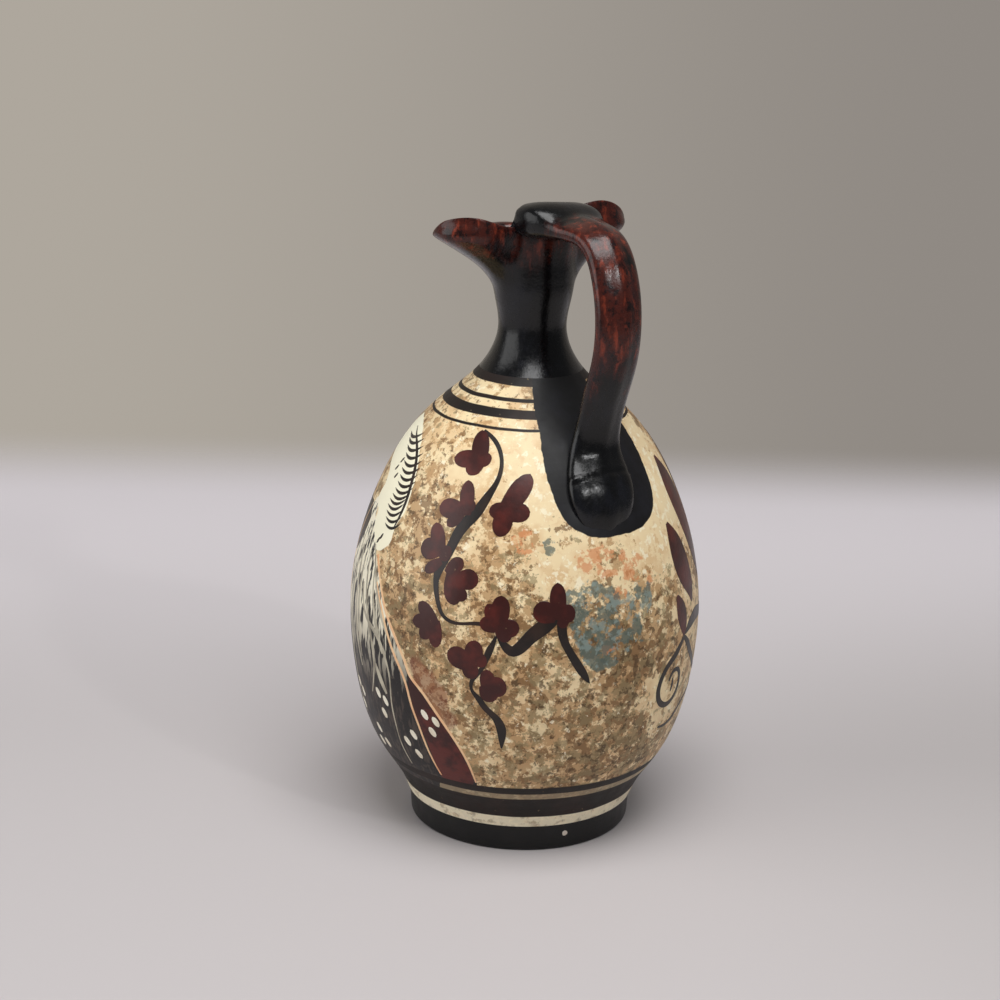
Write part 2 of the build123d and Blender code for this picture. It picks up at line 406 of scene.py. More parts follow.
@dataclass(frozen=True)
class SpongedGround:
    """Cream ground dabbed with a sponge in tan, brown, olive, orange and teal, under thin satin varnish, with
    painted shade darkening it towards the bottom.
    """

    cream: Colour = paint(242, 220, 176)
    pale: Colour = paint(252, 242, 212)
    sand: Colour = paint(222, 186, 138)
    tan: Colour = paint(182, 142, 96)
    brown: Colour = paint(122, 88, 52)
    umber: Colour = paint(76, 54, 30)
    olive: Colour = paint(140, 124, 88)
    orange: Colour = paint(214, 138, 88)
    teal: Colour = paint(84, 102, 96)
    blue: Colour = paint(136, 152, 146)
    rust: Colour = paint(124, 58, 38)
    teal_spots: tuple[Patch, ...] = ((17, 70, 9), (26, 66, 10), (33, 62, 11), (22, 58, 8), (41, 70, 6),
        (8, 83, 4), (46, 108, 5), (150, 60, 15), (-125, 60, 10))
    orange_spots: tuple[Patch, ...] = ((22, 79, 7), (35, 79, 8), (42, 73, 6), (-1, 84, 7), (31, 70, 4),
        (27, 58, 4), (165, 85, 12), (-150, 40, 14))
    pale_spots: tuple[Patch, ...] = ((-6, 102, 13), (2, 94, 10), (13, 76, 8), (52, 82, 10), (60, 90, 12),
        (66, 100, 12), (-20, 98, 6), (46, 44, 6), (55, 37, 6), (150, 100, 16), (-160, 90, 16))
    rust_spots: tuple[Patch, ...] = ((-36.5, 51.0, 3.5), (-32.5, 47.5, 4.5), (-29, 44, 4.5), (-25, 38.5, 3.5))

    def patch(self, m: ClayShader, wall: "Wall", spots: Sequence[Patch]) -> Val:
        """Share of the surface near given spots.

        Args:
            m: the material's maker.
            wall: outline that the spots lie on.
            spots: bearing, height and reach of each.

        Returns:
            The share, 1 at a spot.
        """
        share: Any = 0.0
        for bearing, height, reach in spots:
            share = m.near(wall.spots([(bearing, height)])[0], reach * 1.3, reach * 1.1) + share
        return share.clip()

    def colour(self, m: ClayShader, wall: "Wall") -> bpy.types.NodeSocket:
        """Adds the ground's colour to a material.

        Args:
            m: the material's maker.
            wall: outline that the spots lie on.

        Returns:
            The colour socket.
        """
        # Darker towards the bottom: more tan, brown and olive cover low on the body, painted shade where less
        # light reaches.
        low = 1 - m.z.rise(30.0, 104.0)
        # Less sponge cover where the listed pale spots lie.
        pale_patches = self.patch(m, wall, self.pale_spots)
        cover = low * 0.075 + (m.noise(0.035, 2.0, 0.5, 11.0) - 0.5) * 0.4 - pale_patches * 0.16
        colour = m.mix(m.noise(0.09, 3.0, 0.6, 5.0).rise(0.40, 0.64) * 0.8, self.cream, self.sand)
        layers = (
            (0.27, 3.0, cover, 0.485, 0.80, self.tan),
            (0.36, 23.0, cover, 0.540, 0.80, self.brown),
            (0.30, 41.0, cover * 0.5 + low * 0.07, 0.585, 0.65, self.olive),
            (0.32, 57.0, cover * -0.6, 0.555, 0.80, self.cream),
            (0.46, 73.0, cover * -0.4, 0.610, 0.75, self.pale),
            (0.55, 91.0, cover * 0.8, 0.600, 0.75, self.umber),
        )
        for scale, shift, bias, limit, force, tint in layers:
            dab = (m.noise(scale, 5.0, 0.66, shift) + bias).rise(limit, limit + 0.045)
            colour = m.mix(dab * force, colour, tint)
        patches = (
            (self.orange_spots, 0.30, 17.0, 0.47, 0.7, self.orange),
            (self.teal_spots, 0.26, 29.0, 0.46, 0.8, self.teal),
            (self.teal_spots, 0.40, 37.0, 0.52, 0.7, self.blue),
        )
        for spots, scale, shift, limit, force, tint in patches:
            share = self.patch(m, wall, spots)
            dab = (m.noise(scale, 5.0, 0.66, shift) + share * 0.5 - 0.5).rise(limit, limit + 0.06)
            colour = m.mix(dab * force, colour, tint)
        stain = self.patch(m, wall, self.rust_spots) + (m.noise(0.3, 4.0, 0.6, 49.0) - 0.5) * 1.2
        return m.mix(stain.rise(0.25, 0.80) * 0.6, colour, self.rust)


@dataclass(frozen=True)
class BodyPaint:
    """The body's finish: sponged ground with turned rings and the painted fields laid over it."""

    ground: SpongedGround = SpongedGround()
    slip: Colour = paint(24, 18, 14)
    slip_thin: Colour = paint(46, 28, 22)
    ring_ground: Colour = paint(150, 136, 112)
    plume: Colour = paint(248, 240, 216)
    panel: Colour = paint(9, 8, 10)
    panel_tint: Colour = paint(24, 24, 31)
    feather: Colour = paint(252, 246, 218)
    train: Colour = paint(30, 26, 26)
    train_thin: Colour = paint(66, 56, 50)
    red: Colour = paint(92, 36, 30)
    red_deep: Colour = paint(56, 24, 22)
    rings: tuple[tuple[float, float], ...] = ((10.2, 16.6), (18.4, 20.6), (106.7, 107.25), (109.0, 110.75),
        (112.15, 112.9), (115.3, 140.0))
    clean_zone: tuple[float, float] = (6.0, 10.4)
    panel_field: Field = Field(
        "panel",
        ((34.0, 122.0), (10.0, 121.0), (1.0, 116.5), (2.5, 111.0), (5.0, 107.0), (6.4, 100.0), (8.8, 95.0),
            (11.0, 91.2), (15.0, 87.5), (21.0, 85.0), (28.0, 84.0), (36.0, 84.0), (43.0, 84.4), (50.0, 85.7),
            (55.0, 88.0), (58.0, 91.0), (60.5, 97.5), (62.0, 101.5), (64.0, 106.0), (67.0, 116.5),
            (58.0, 121.0)),
    )
    wing_field: Field = Field(
        "wing",
        ((-86.0, 104.3), (-75.0, 103.6), (-66.0, 101.5), (-60.6, 99.1), (-55.0, 95.1), (-52.4, 89.8),
            (-52.5, 85.3), (-55.1, 82.0), (-54.9, 78.6), (-58.5, 76.1), (-63.3, 75.1), (-66.4, 77.5),
            (-71.8, 79.7), (-71.3, 82.8), (-76.8, 84.2), (-76.0, 88.9), (-80.5, 92.0), (-88.0, 94.0),
            (-97.0, 98.0), (-95.0, 103.0)),
    )
    train_field: Field = Field(
        "train",
        ((-62.8, 75.0), (-58.0, 70.4), (-54.2, 66.7), (-50.8, 62.4), (-47.2, 58.8), (-43.5, 54.8),
            (-40.6, 51.0), (-39.6, 48.7), (-35.4, 45.7), (-31.0, 41.9), (-27.3, 38.2), (-22.4, 32.7),
            (-18.6, 26.0), (-16.9, 20.4), (-24.0, 19.8), (-33.0, 19.5), (-36.0, 16.4), (-50.0, 16.2),
            (-86.5, 16.4), (-88.5, 26.0), (-90.0, 36.0), (-90.0, 48.0), (-88.5, 62.0), (-85.5, 74.0),
            (-80.5, 83.0), (-76.5, 85.5), (-71.5, 81.5), (-67.0, 77.5)),
    )
    red_field: Field = Field(
        "red_feather",
        ((-39.4, 48.1), (-35.0, 45.2), (-31.0, 41.6), (-27.6, 38.0), (-22.7, 32.3), (-19.1, 26.0),
            (-18.2, 20.9), (-24.0, 20.5), (-31.2, 20.5), (-33.8, 29.6), (-36.8, 35.7), (-38.9, 40.7)),
    )

    def fields(self) -> tuple[Field, ...]:
        """The painted fields, whose attributes the body carries."""
        return (self.panel_field, self.wing_field, self.train_field, self.red_field)

    def inside(self, m: ClayShader, painted: Field, ragged: float) -> Val:
        """1 inside a painted field.

        Args:
            m: the material's maker.
            painted: the field.
            ragged: how far the brush strays at its edge.

        Returns:
            The share.
        """
        attribute = m.make("ShaderNodeAttribute", {"attribute_name": painted.name})
        edge = Val(m, attribute.outputs["Fac"]) + (m.noise(0.25, 2.0, 0.5, 9.0) - 0.5) * ragged
        return edge.rise(-0.10, 0.10)

    def material(self, wall: "Wall") -> bpy.types.Material:
        """Makes the material.

        Args:
            wall: outline that the ornament lies on.

        Returns:
            The material.
        """
        m = ClayShader("sponged_ground_with_rings")
        wobble = m.z + (m.noise(0.06, 2.0, 0.5, 5.0) - 0.5) * 0.7
        dark: Any = 0.0
        for low, high in self.rings:
            dark = wobble.between(low, high, 0.07) + dark
        panel = self.inside(m, self.panel_field, 0.8)
        wing = self.inside(m, self.wing_field, 1.4)
        train = self.inside(m, self.train_field, 0.6)
        red = self.inside(m, self.red_field, 0.5)
        colour = self.ground.colour(m, wall)
        clean = m.z.between(self.clean_zone[0], self.clean_zone[1], 0.3)
        soil = m.noise(0.35, 4.0, 0.66, 59.0).rise(0.50, 0.64)
        colour = m.mix(clean * (0.85 - soil * 0.45), colour, self.ground.pale)
        colour = m.mix(m.z.between(16.0, 18.9, 0.3) * 0.7, colour, self.ring_ground)
        worn = m.noise(0.8, 3.0, 0.66, 31.0).rise(0.68, 0.74) * 0.5
        colour = m.mix(wing * (1 - worn * 0.5), colour, self.feather)
        folds = m.noise(0.5, 3.0, 0.6, 43.0, (1.6, 1.6, 0.22))
        above = m.z.rise(40.0, 62.0)
        pale_plume = m.mix(above, self.train_thin, self.plume)
        plumes = m.mix((folds + above * 0.06).rise(0.49, 0.57), self.train, pale_plume)
        colour = m.mix(train * (1 - worn * 0.35), colour, plumes)
        blush = (m.noise(0.2, 3.0, 0.6, 47.0) + m.z.rise(30.0, 46.0) * 0.25).rise(0.45, 0.7)
        colour = m.mix(red, colour, m.mix(blush, self.red, self.red_deep))
        ring_share = dark.clip() * (1 - worn * 0.5)
        slip = m.mix(m.noise(0.12, 3.0, 0.6, 15.0).rise(0.4, 0.7) * 0.5, self.slip, self.slip_thin)
        colour = m.mix(ring_share, colour, slip)
        cloud = m.noise(0.16, 3.0, 0.6, 19.0)
        colour = m.mix(panel, colour, m.mix(cloud.rise(0.42, 0.7) * 0.6, self.panel, self.panel_tint))
        covered = panel.top(ring_share)
        rough = 0.46 + (m.noise(0.35, 3.0, 0.6, 27.0) - 0.5) * 0.22 + covered * 0.10
        grain = m.noise(1.6, 3.0, 0.6, 33.0)
        turning = m.noise(0.5, 2.0, 0.5, 37.0, (0.06, 0.06, 2.2))
        return m.finish(colour, rough, grain * 0.45 + turning * 0.55, 0.06, 0.05)


@dataclass(frozen=True)
class SlipFilm:
    """A brushed film of slip on the ground, uneven in depth, worn through in places."""

    name: str
    deep: Colour
    thin: Colour
    wear: float = 0.25
    rough: float = 0.40
    ground: Colour = paint(206, 176, 132)

    def material(self) -> bpy.types.Material:
        """Makes the material."""
        m = ClayShader(self.name)
        pool = m.noise(0.16, 3.0, 0.6, 7.0)
        colour = m.mix(pool.rise(0.40, 0.66), self.deep, self.thin)
        bare = m.noise(0.75, 3.0, 0.66, 13.0).rise(0.69, 0.77) * self.wear
        colour = m.mix(bare, colour, self.ground)
        rough = self.rough + (m.noise(0.5, 2.0, 0.5, 17.0) - 0.5) * 0.18
        return m.finish(colour, rough, m.noise(1.4, 3.0, 0.6, 29.0), 0.05, 0.2)


@dataclass(frozen=True)
class GlossySlip:
    """Thin glossy slip that runs from black to red-brown where the clay shows through."""

    name: str
    black: Colour = paint(8, 8, 9)
    cloud: Colour = paint(24, 25, 31)
    red: Colour = paint(68, 27, 20)
    amber: Colour = paint(150, 64, 42)
    red_from: float = 106.0
    red_full: float = 132.0
    saddle_end: float = -100.0
    redness: float = 0.0
    stretch: tuple[float, float, float] = (1.0, 1.0, 0.35)

    def material(self) -> bpy.types.Material:
        """Makes the material."""
        m = ClayShader(self.name)
        zone = m.z.rise(self.red_from, self.red_full) * m.x.rise(self.saddle_end - 3.0, self.saddle_end + 6.0)
        streak = m.noise(0.20, 4.0, 0.62, 3.0, self.stretch)
        fine = m.noise(0.55, 4.0, 0.62, 9.0, self.stretch)
        clouds = m.noise(0.15, 3.0, 0.6, 5.0, (1.0, 1.0, 0.6)).rise(0.45, 0.72) * 0.7
        dark = m.mix(clouds, self.black, self.cloud)
        thin = (streak + self.redness + zone * 0.25 - 0.2).rise(0.38, 0.62) * zone
        colour = m.mix(thin, dark, self.red)
        colour = m.mix(thin * fine.rise(0.50, 0.70) * 0.6, colour, self.amber)
        colour = m.mix(m.noise(0.38, 4.0, 0.66, 21.0).rise(0.50, 0.66) * 0.85, colour, dark)
        rough = 0.23 + (m.noise(0.9, 4.0, 0.65, 27.0) - 0.5) * 0.45
        height = m.noise(0.9, 3.0, 0.6, 33.0) * 0.6 + streak * 0.4
        return m.finish(colour, rough, height, 0.10, 0.12)


@dataclass(frozen=True)
class BlackSlip:
    """Dense black slip with grey clouds, worn and chipped a little."""

    name: str
    black: Colour = paint(10, 10, 10)
    cloud: Colour = paint(24, 23, 23)
    chip: Colour = paint(214, 204, 190)
    chip_spot: tuple[float, float, float] | None = None

    def material(self) -> bpy.types.Material:
        """Makes the material."""
        m = ClayShader(self.name)
        cloud = m.noise(0.15, 3.0, 0.6, 5.0, (1.0, 1.0, 0.6))
        colour = m.mix(cloud.rise(0.45, 0.72) * 0.6, self.black, self.cloud)
        colour = m.mix(m.noise(1.1, 3.0, 0.66, 15.0).rise(0.72, 0.78) * 0.35, colour, paint(92, 72, 56))
        if self.chip_spot is not None:
            edge = m.near(self.chip_spot, 1.0, 0.6) + (m.noise(1.3, 3.0, 0.6, 3.0) - 0.5) * 1.2
            colour = m.mix(edge.rise(0.4, 0.6), colour, self.chip)
        rough = 0.36 + (m.noise(0.35, 3.0, 0.6, 27.0) - 0.5) * 0.2
        height = m.noise(1.2, 3.0, 0.6, 33.0) * 0.5 + m.noise(0.5, 2.0, 0.5, 37.0, (0.06, 0.06, 2.2)) * 0.5
        return m.finish(colour, rough, height, 0.06, 0.08)


class TreeSocket(Enum):
    """Kinds of named inputs of a geometry tree."""

    GEOMETRY = "NodeSocketGeometry"
    COUNT = "NodeSocketInt"
    LENGTH = "NodeSocketFloat"
    OBJECT = "NodeSocketObject"
    MATERIAL = "NodeSocketMaterial"


class GeometryTree(NodeMaker):
    """A Geometry Nodes tree with named inputs that is run on one object and turned into a plain mesh."""

    def __init__(self, name: str, inputs: dict[str, TreeSocket]) -> None:
        """Starts the tree.

        Args:
            name: tree name.
            inputs: named inputs after the geometry.
        """
        super().__init__(bpy.data.node_groups.new(name, "GeometryNodeTree"))
        self.tree.is_modifier = True
        face = self.tree.interface
        for way in ("OUTPUT", "INPUT"):
            face.new_socket(name="Geometry", in_out=way, socket_type=TreeSocket.GEOMETRY.value)
        self.named: dict[str, str] = {}
        for key, kind in inputs.items():
            self.named[key] = face.new_socket(name=key, in_out="INPUT", socket_type=kind.value).identifier
        self.start = self.make("NodeGroupInput").outputs

    def geometry_of(self, name: str) -> bpy.types.NodeSocket:
        """Geometry of the object that a named input holds."""
        held = {"Object": self.start[name]}
        return self.make("GeometryNodeObjectInfo", {"transform_space": "ORIGINAL"}, held).outputs["Geometry"]

    def read(self, name: str, kind: str) -> bpy.types.NodeSocket:
        """Named attribute of the points."""
        return self.make("GeometryNodeInputNamedAttribute", {"data_type": kind}, {"Name": name}).outputs[0]

    def close(self, geometry: bpy.types.NodeSocket) -> None:
        """Smooths, realizes and dresses the geometry and sends it out.

        Args:
            geometry: geometry socket.
        """
        smooth = self.make("GeometryNodeSetShadeSmooth", None, {"Geometry": geometry})
        real = self.make("GeometryNodeRealizeInstances", None, {"Geometry": smooth.outputs[0]})
        dress = {"Geometry": real.outputs[0], "Material": self.start["Material"]}
        dressed = self.make("GeometryNodeSetMaterial", None, dress)
        self.make("NodeGroupOutput", None, {0: dressed.outputs[0]})

    def run(self, name: str, mesh: bpy.types.Mesh, values: dict[str, Any]) -> bpy.types.Object:
        """Runs the tree on a mesh and keeps the result as a plain mesh.

        Args:
            name: name of the finished object.
            mesh: mesh that goes in.
            values: values of the named inputs.

        Returns:
            The finished object.
        """
        obj = linked(name, mesh)
        modifier = obj.modifiers.new("tree", "NODES")
        modifier.node_group = self.tree
        for key, value in values.items():
            modifier[self.named[key]] = value
        graph = bpy.context.evaluated_depsgraph_get()
        ready = obj.evaluated_get(graph)
        made = bpy.data.meshes.new_from_object(ready, preserve_all_data_layers=True, depsgraph=graph)
        obj.modifiers.clear()
        obj.data = made
        made.name = name
        return obj


def turned_tree() -> GeometryTree:
    """Tree that turns a half section about the jug's axis.

    Returns:
        The tree, with inputs Segments and Material.
    """
    t = GeometryTree("turned_on_the_wheel", {"Segments": TreeSocket.COUNT, "Material": TreeSocket.MATERIAL})
    section = t.start["Geometry"]
    segments = Val(t, t.start["Segments"])
    count = t.value("GeometryNodeAttributeDomainSize", {"component": "MESH"}, {"Geometry": section}, "Point Count")
    grid = t.make("GeometryNodeMeshGrid", None, {"Vertices X": segments + 1, "Vertices Y": count})
    index = t.value("GeometryNodeInputIndex")
    column = ((index + 0.5) / count).floor()
    row = index - column * count
    place = t.make("GeometryNodeInputPosition").outputs[0]
    kind = {"data_type": "FLOAT_VECTOR", "domain": "POINT"}
    sample = t.make("GeometryNodeSampleIndex", kind, {"Geometry": section, "Value": place, "Index": row})
    apart = t.make("ShaderNodeSeparateXYZ", None, {0: sample.outputs[0]}).outputs
    angle = column * math.tau / segments
    radius = Val(t, apart[0])
    spot = t.make("ShaderNodeCombineXYZ", None, {0: radius * angle.cos(), 1: radius * angle.sin(), 2: apart[2]})
    moved = t.make("GeometryNodeSetPosition", None, {"Geometry": grid.outputs[0], "Position": spot.outputs[0]})
    closed = t.make("GeometryNodeMergeByDistance", None, {"Geometry": moved.outputs[0], "Distance": WELD * MM})
    t.close(closed.outputs[0])
    return t


def press_on_wall(t: GeometryTree, geometry: bpy.types.NodeSocket, outside: Any) -> bpy.types.NodeSocket:
    """Adds the nodes that lay geometry flat on the wall as a film with a lifted face and a sunk underside.

    Args:
        t: the tree, with inputs Wall, Lift and Sink.
        geometry: geometry to lay down.
        outside: 1 on the film's face and 0 on its underside, or None to tell them by the wall.

    Returns:
        The geometry socket.
    """
    wall = t.geometry_of("Wall")
    place = t.make("GeometryNodeInputPosition").outputs[0]
    near = t.make("GeometryNodeProximity", {"target_element": "FACES"}, {0: wall}).outputs["Position"]
    up = t.make("GeometryNodeInputNormal").outputs[0]
    sampled = {"Mesh": wall, "Value": up}
    normal = t.make("GeometryNodeSampleNearestSurface", {"data_type": "FLOAT_VECTOR"}, sampled).outputs[0]
    if outside is None:
        gap = t.vector("SUBTRACT", place, near)
        height = t.value("ShaderNodeVectorMath", {"operation": "DOT_PRODUCT"}, {0: gap, 1: normal}, "Value")
        outside = height > FILM_SIDE * MM
    lift, sink = Val(t, t.start["Lift"]), Val(t, t.start["Sink"])
    level = outside * (lift + sink) - sink
    spot = t.vector("ADD", near, t.scaled(normal, level))
    return t.make("GeometryNodeSetPosition", None, {"Geometry": geometry, "Position": spot}).outputs[0]


FILM_INPUTS = {
    "Wall": TreeSocket.OBJECT,
    "Lift": TreeSocket.LENGTH,
    "Sink": TreeSocket.LENGTH,
    "Material": TreeSocket.MATERIAL,
}


def stroke_tree() -> GeometryTree:
    """Tree that lays brush strokes of changing width along paths on the wall.

    Returns:
        The tree, with inputs Sides and those of a film.
    """
    t = GeometryTree("brush_strokes", {"Sides": TreeSocket.COUNT, **FILM_INPUTS})
    curve = t.make("GeometryNodeMeshToCurve", None, {"Mesh": t.start["Geometry"]}).outputs[0]
    width = t.read("half_width", "FLOAT")
    circle = {"Resolution": t.start["Sides"], "Radius": 1.0}
    ring = t.make("GeometryNodeCurvePrimitiveCircle", {"mode": "RADIUS"}, circle)
    inputs = {"Curve": curve, "Profile Curve": ring.outputs[0], "Scale": width, "Fill Caps": True}
    tube = t.make("GeometryNodeCurveToMesh", None, inputs)
    t.close(press_on_wall(t, tube.outputs[0], None))
    return t


def dab_tree() -> GeometryTree:
    """Tree that repeats one dab of the brush over points of the wall.

    Returns:
        The tree, with inputs Dab and those of a film.
    """
    t = GeometryTree("brush_dabs", {"Dab": TreeSocket.OBJECT, **FILM_INPUTS})
    dab = t.geometry_of("Dab")
    facing, along, stretch = (t.read(name, "FLOAT_VECTOR") for name in ("facing", "along", "stretch"))
    faced = t.make("FunctionNodeAlignRotationToVector", {"axis": "Z"}, {"Vector": facing})
    aim = {"Rotation": faced.outputs[0], "Vector": along}
    turned = t.make("FunctionNodeAlignRotationToVector", {"axis": "X", "pivot_axis": "Z"}, aim)
    inputs = {"Points": t.start["Geometry"], "Instance": dab, "Rotation": turned.outputs[0], "Scale": stretch}
    spread = t.make("GeometryNodeInstanceOnPoints", None, inputs)
    real = t.make("GeometryNodeRealizeInstances", None, {"Geometry": spread.outputs[0]})
    t.close(press_on_wall(t, real.outputs[0], Val(t, t.read("face", "FLOAT"))))
    return t


def add_piece(
    obj: bpy.types.Object, stands_for: Iterable[str] = (), sharp: float = CLAY_SHARP
) -> bpy.types.Object:
    """Ties a finished piece to the part and reports it.

    Args:
        obj: the piece.
        stands_for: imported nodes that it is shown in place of.
        sharp: least angle of an edge that is shaded sharp, in degrees.

    Returns:
        The piece.
    """
    obj.data.set_sharp_from_angle(angle=math.radians(sharp))
    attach(obj, BODY)
    nodes = list(stands_for)
    if nodes:
        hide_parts(*nodes)
    triangles = sum(len(p.vertices) - 2 for p in obj.data.polygons)
    LOG.info("%s: %d triangles", obj.name, triangles)
    return obj


def mesh_of(
    name: str, spots: np.ndarray, faces: Sequence[Sequence[int]], edges: Sequence[Sequence[int]] = ()
) -> bpy.types.Mesh:
    """Mesh from points in millimetres.

    Args:
        name: mesh name.
        spots: points.
        faces: corner numbers.
        edges: loose edges.

    Returns:
        The mesh.
    """
    mesh = bpy.data.meshes.new(name)
    mesh.from_pydata((np.asarray(spots) * MM).tolist(), list(edges), list(faces))
    mesh.update()
    return mesh


def face_outwards(mesh: bpy.types.Mesh) -> None:
    """Turns a closed mesh so that its faces point outwards.

    Args:
        mesh: the mesh.
    """
    spots = np.array([v.co for v in mesh.vertices])
    volume = 0.0
    for p in mesh.polygons:
        corner = [spots[k] for k in p.vertices]
        for k in range(1, len(corner) - 1):
            volume += float(np.dot(corner[0], np.cross(corner[k], corner[k + 1])))
    if volume < 0:
        mesh.flip_normals()


def ring_faces(rings: int, around: int, first_cap: bool, last_cap: bool) -> list[tuple[int, ...]]:
    """Faces of a tube of closed rings.

    Args:
        rings: how many rings.
        around: points of each ring.
        first_cap: whether the first ring is closed.
        last_cap: whether the last ring is closed.

    Returns:
        The faces' corner numbers.
    """
    faces: list[tuple[int, ...]] = []
    for j in range(rings - 1):
        for k in range(around):
            n = (k + 1) % around
            faces.append((j * around + k, j * around + n, (j + 1) * around + n, (j + 1) * around + k))
    if first_cap:
        faces.append(tuple(reversed(range(around))))
    if last_cap:
        faces.append(tuple(range((rings - 1) * around, rings * around)))
    return faces


@dataclass
class Wall:
    """Outer outline of the body and neck, radius and height over the body's underside."""

    base: float = 7.0
    thickness: float = 3.2
    floor: float = 4.5
    paint_room: float = 0.08
    stations: tuple[Spot, ...] = (
        (28.9, 0.0), (30.7, 4.2), (36.3, 13.0), (43.2, 35.5), (43.9, 53.0), (37.9, 78.0),
        (29.0, 94.2), (21.9, 101.7), (13.4, 109.3), (8.4, 120.5), (9.2, 126.5),
    )
    line: np.ndarray = field(init=False)

    def __post_init__(self) -> None:
        """Works out the smooth outline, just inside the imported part's box."""
        self.line = smooth_curve([(r, z + self.base) for r, z in self.stations], 1600)
        low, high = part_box("body_shell")
        limit = min(-low.x, high.x, -low.y, high.y) / MM - self.paint_room
        self.line[:, 0] *= min(1.0, limit / self.line[:, 0].max())

    def radius(self, height: Any) -> Any:
        """Outer radius at a height."""
        return np.interp(height, self.line[:, 1], self.line[:, 0])

    def stretch(self, low: float, high: float, count: int, inset: float = 0.0) -> np.ndarray:
        """Points of the outline between two heights.

        Args:
            low: lower height.
            high: upper height.
            count: how many points.
            inset: how far inside the outline, measured level.

        Returns:
            Rows of radius and height.
        """
        keep = (self.line[:, 1] > low) & (self.line[:, 1] < high)
        ends = [(self.radius(low), low)], [(self.radius(high), high)]
        path = np.concatenate([ends[0], self.line[keep], ends[1]])
        along = np.concatenate([[0], np.cumsum(np.linalg.norm(np.diff(path, axis=0), axis=1))])
        place = np.linspace(0, along[-1], count)
        return np.stack([np.interp(place, along, path[:, 0]) - inset, np.interp(place, along, path[:, 1])], axis=1)

    def spots(self, places: Sequence[Spot]) -> np.ndarray:
        """Points on the wall.

        Args:
            places: bearing and height of each.

        Returns:
            Rows of x, y and z.
        """
        flat = np.asarray(places, float)
        turn = np.radians(flat[:, 0] + VIEW_TURN)
        radius = self.radius(flat[:, 1])
        return np.stack([radius * np.sin(turn), -radius * np.cos(turn), flat[:, 1]], axis=1)

    def facing(self, places: Sequence[Spot]) -> np.ndarray:
        """Outward directions of the wall at bearings and heights."""
        flat = np.asarray(places, float)
        turn = np.radians(flat[:, 0] + VIEW_TURN)
        slope = (self.radius(flat[:, 1] + 0.2) - self.radius(flat[:, 1] - 0.2)) / 0.4
        out = np.stack([np.sin(turn), -np.cos(turn), -slope], axis=1)
        return out / np.linalg.norm(out, axis=1)[:, None]

    def degrees(self, length: float, height: float) -> float:
        """Bearing spanned by a length round the wall at a height."""
        return math.degrees(length / float(self.radius(height)))


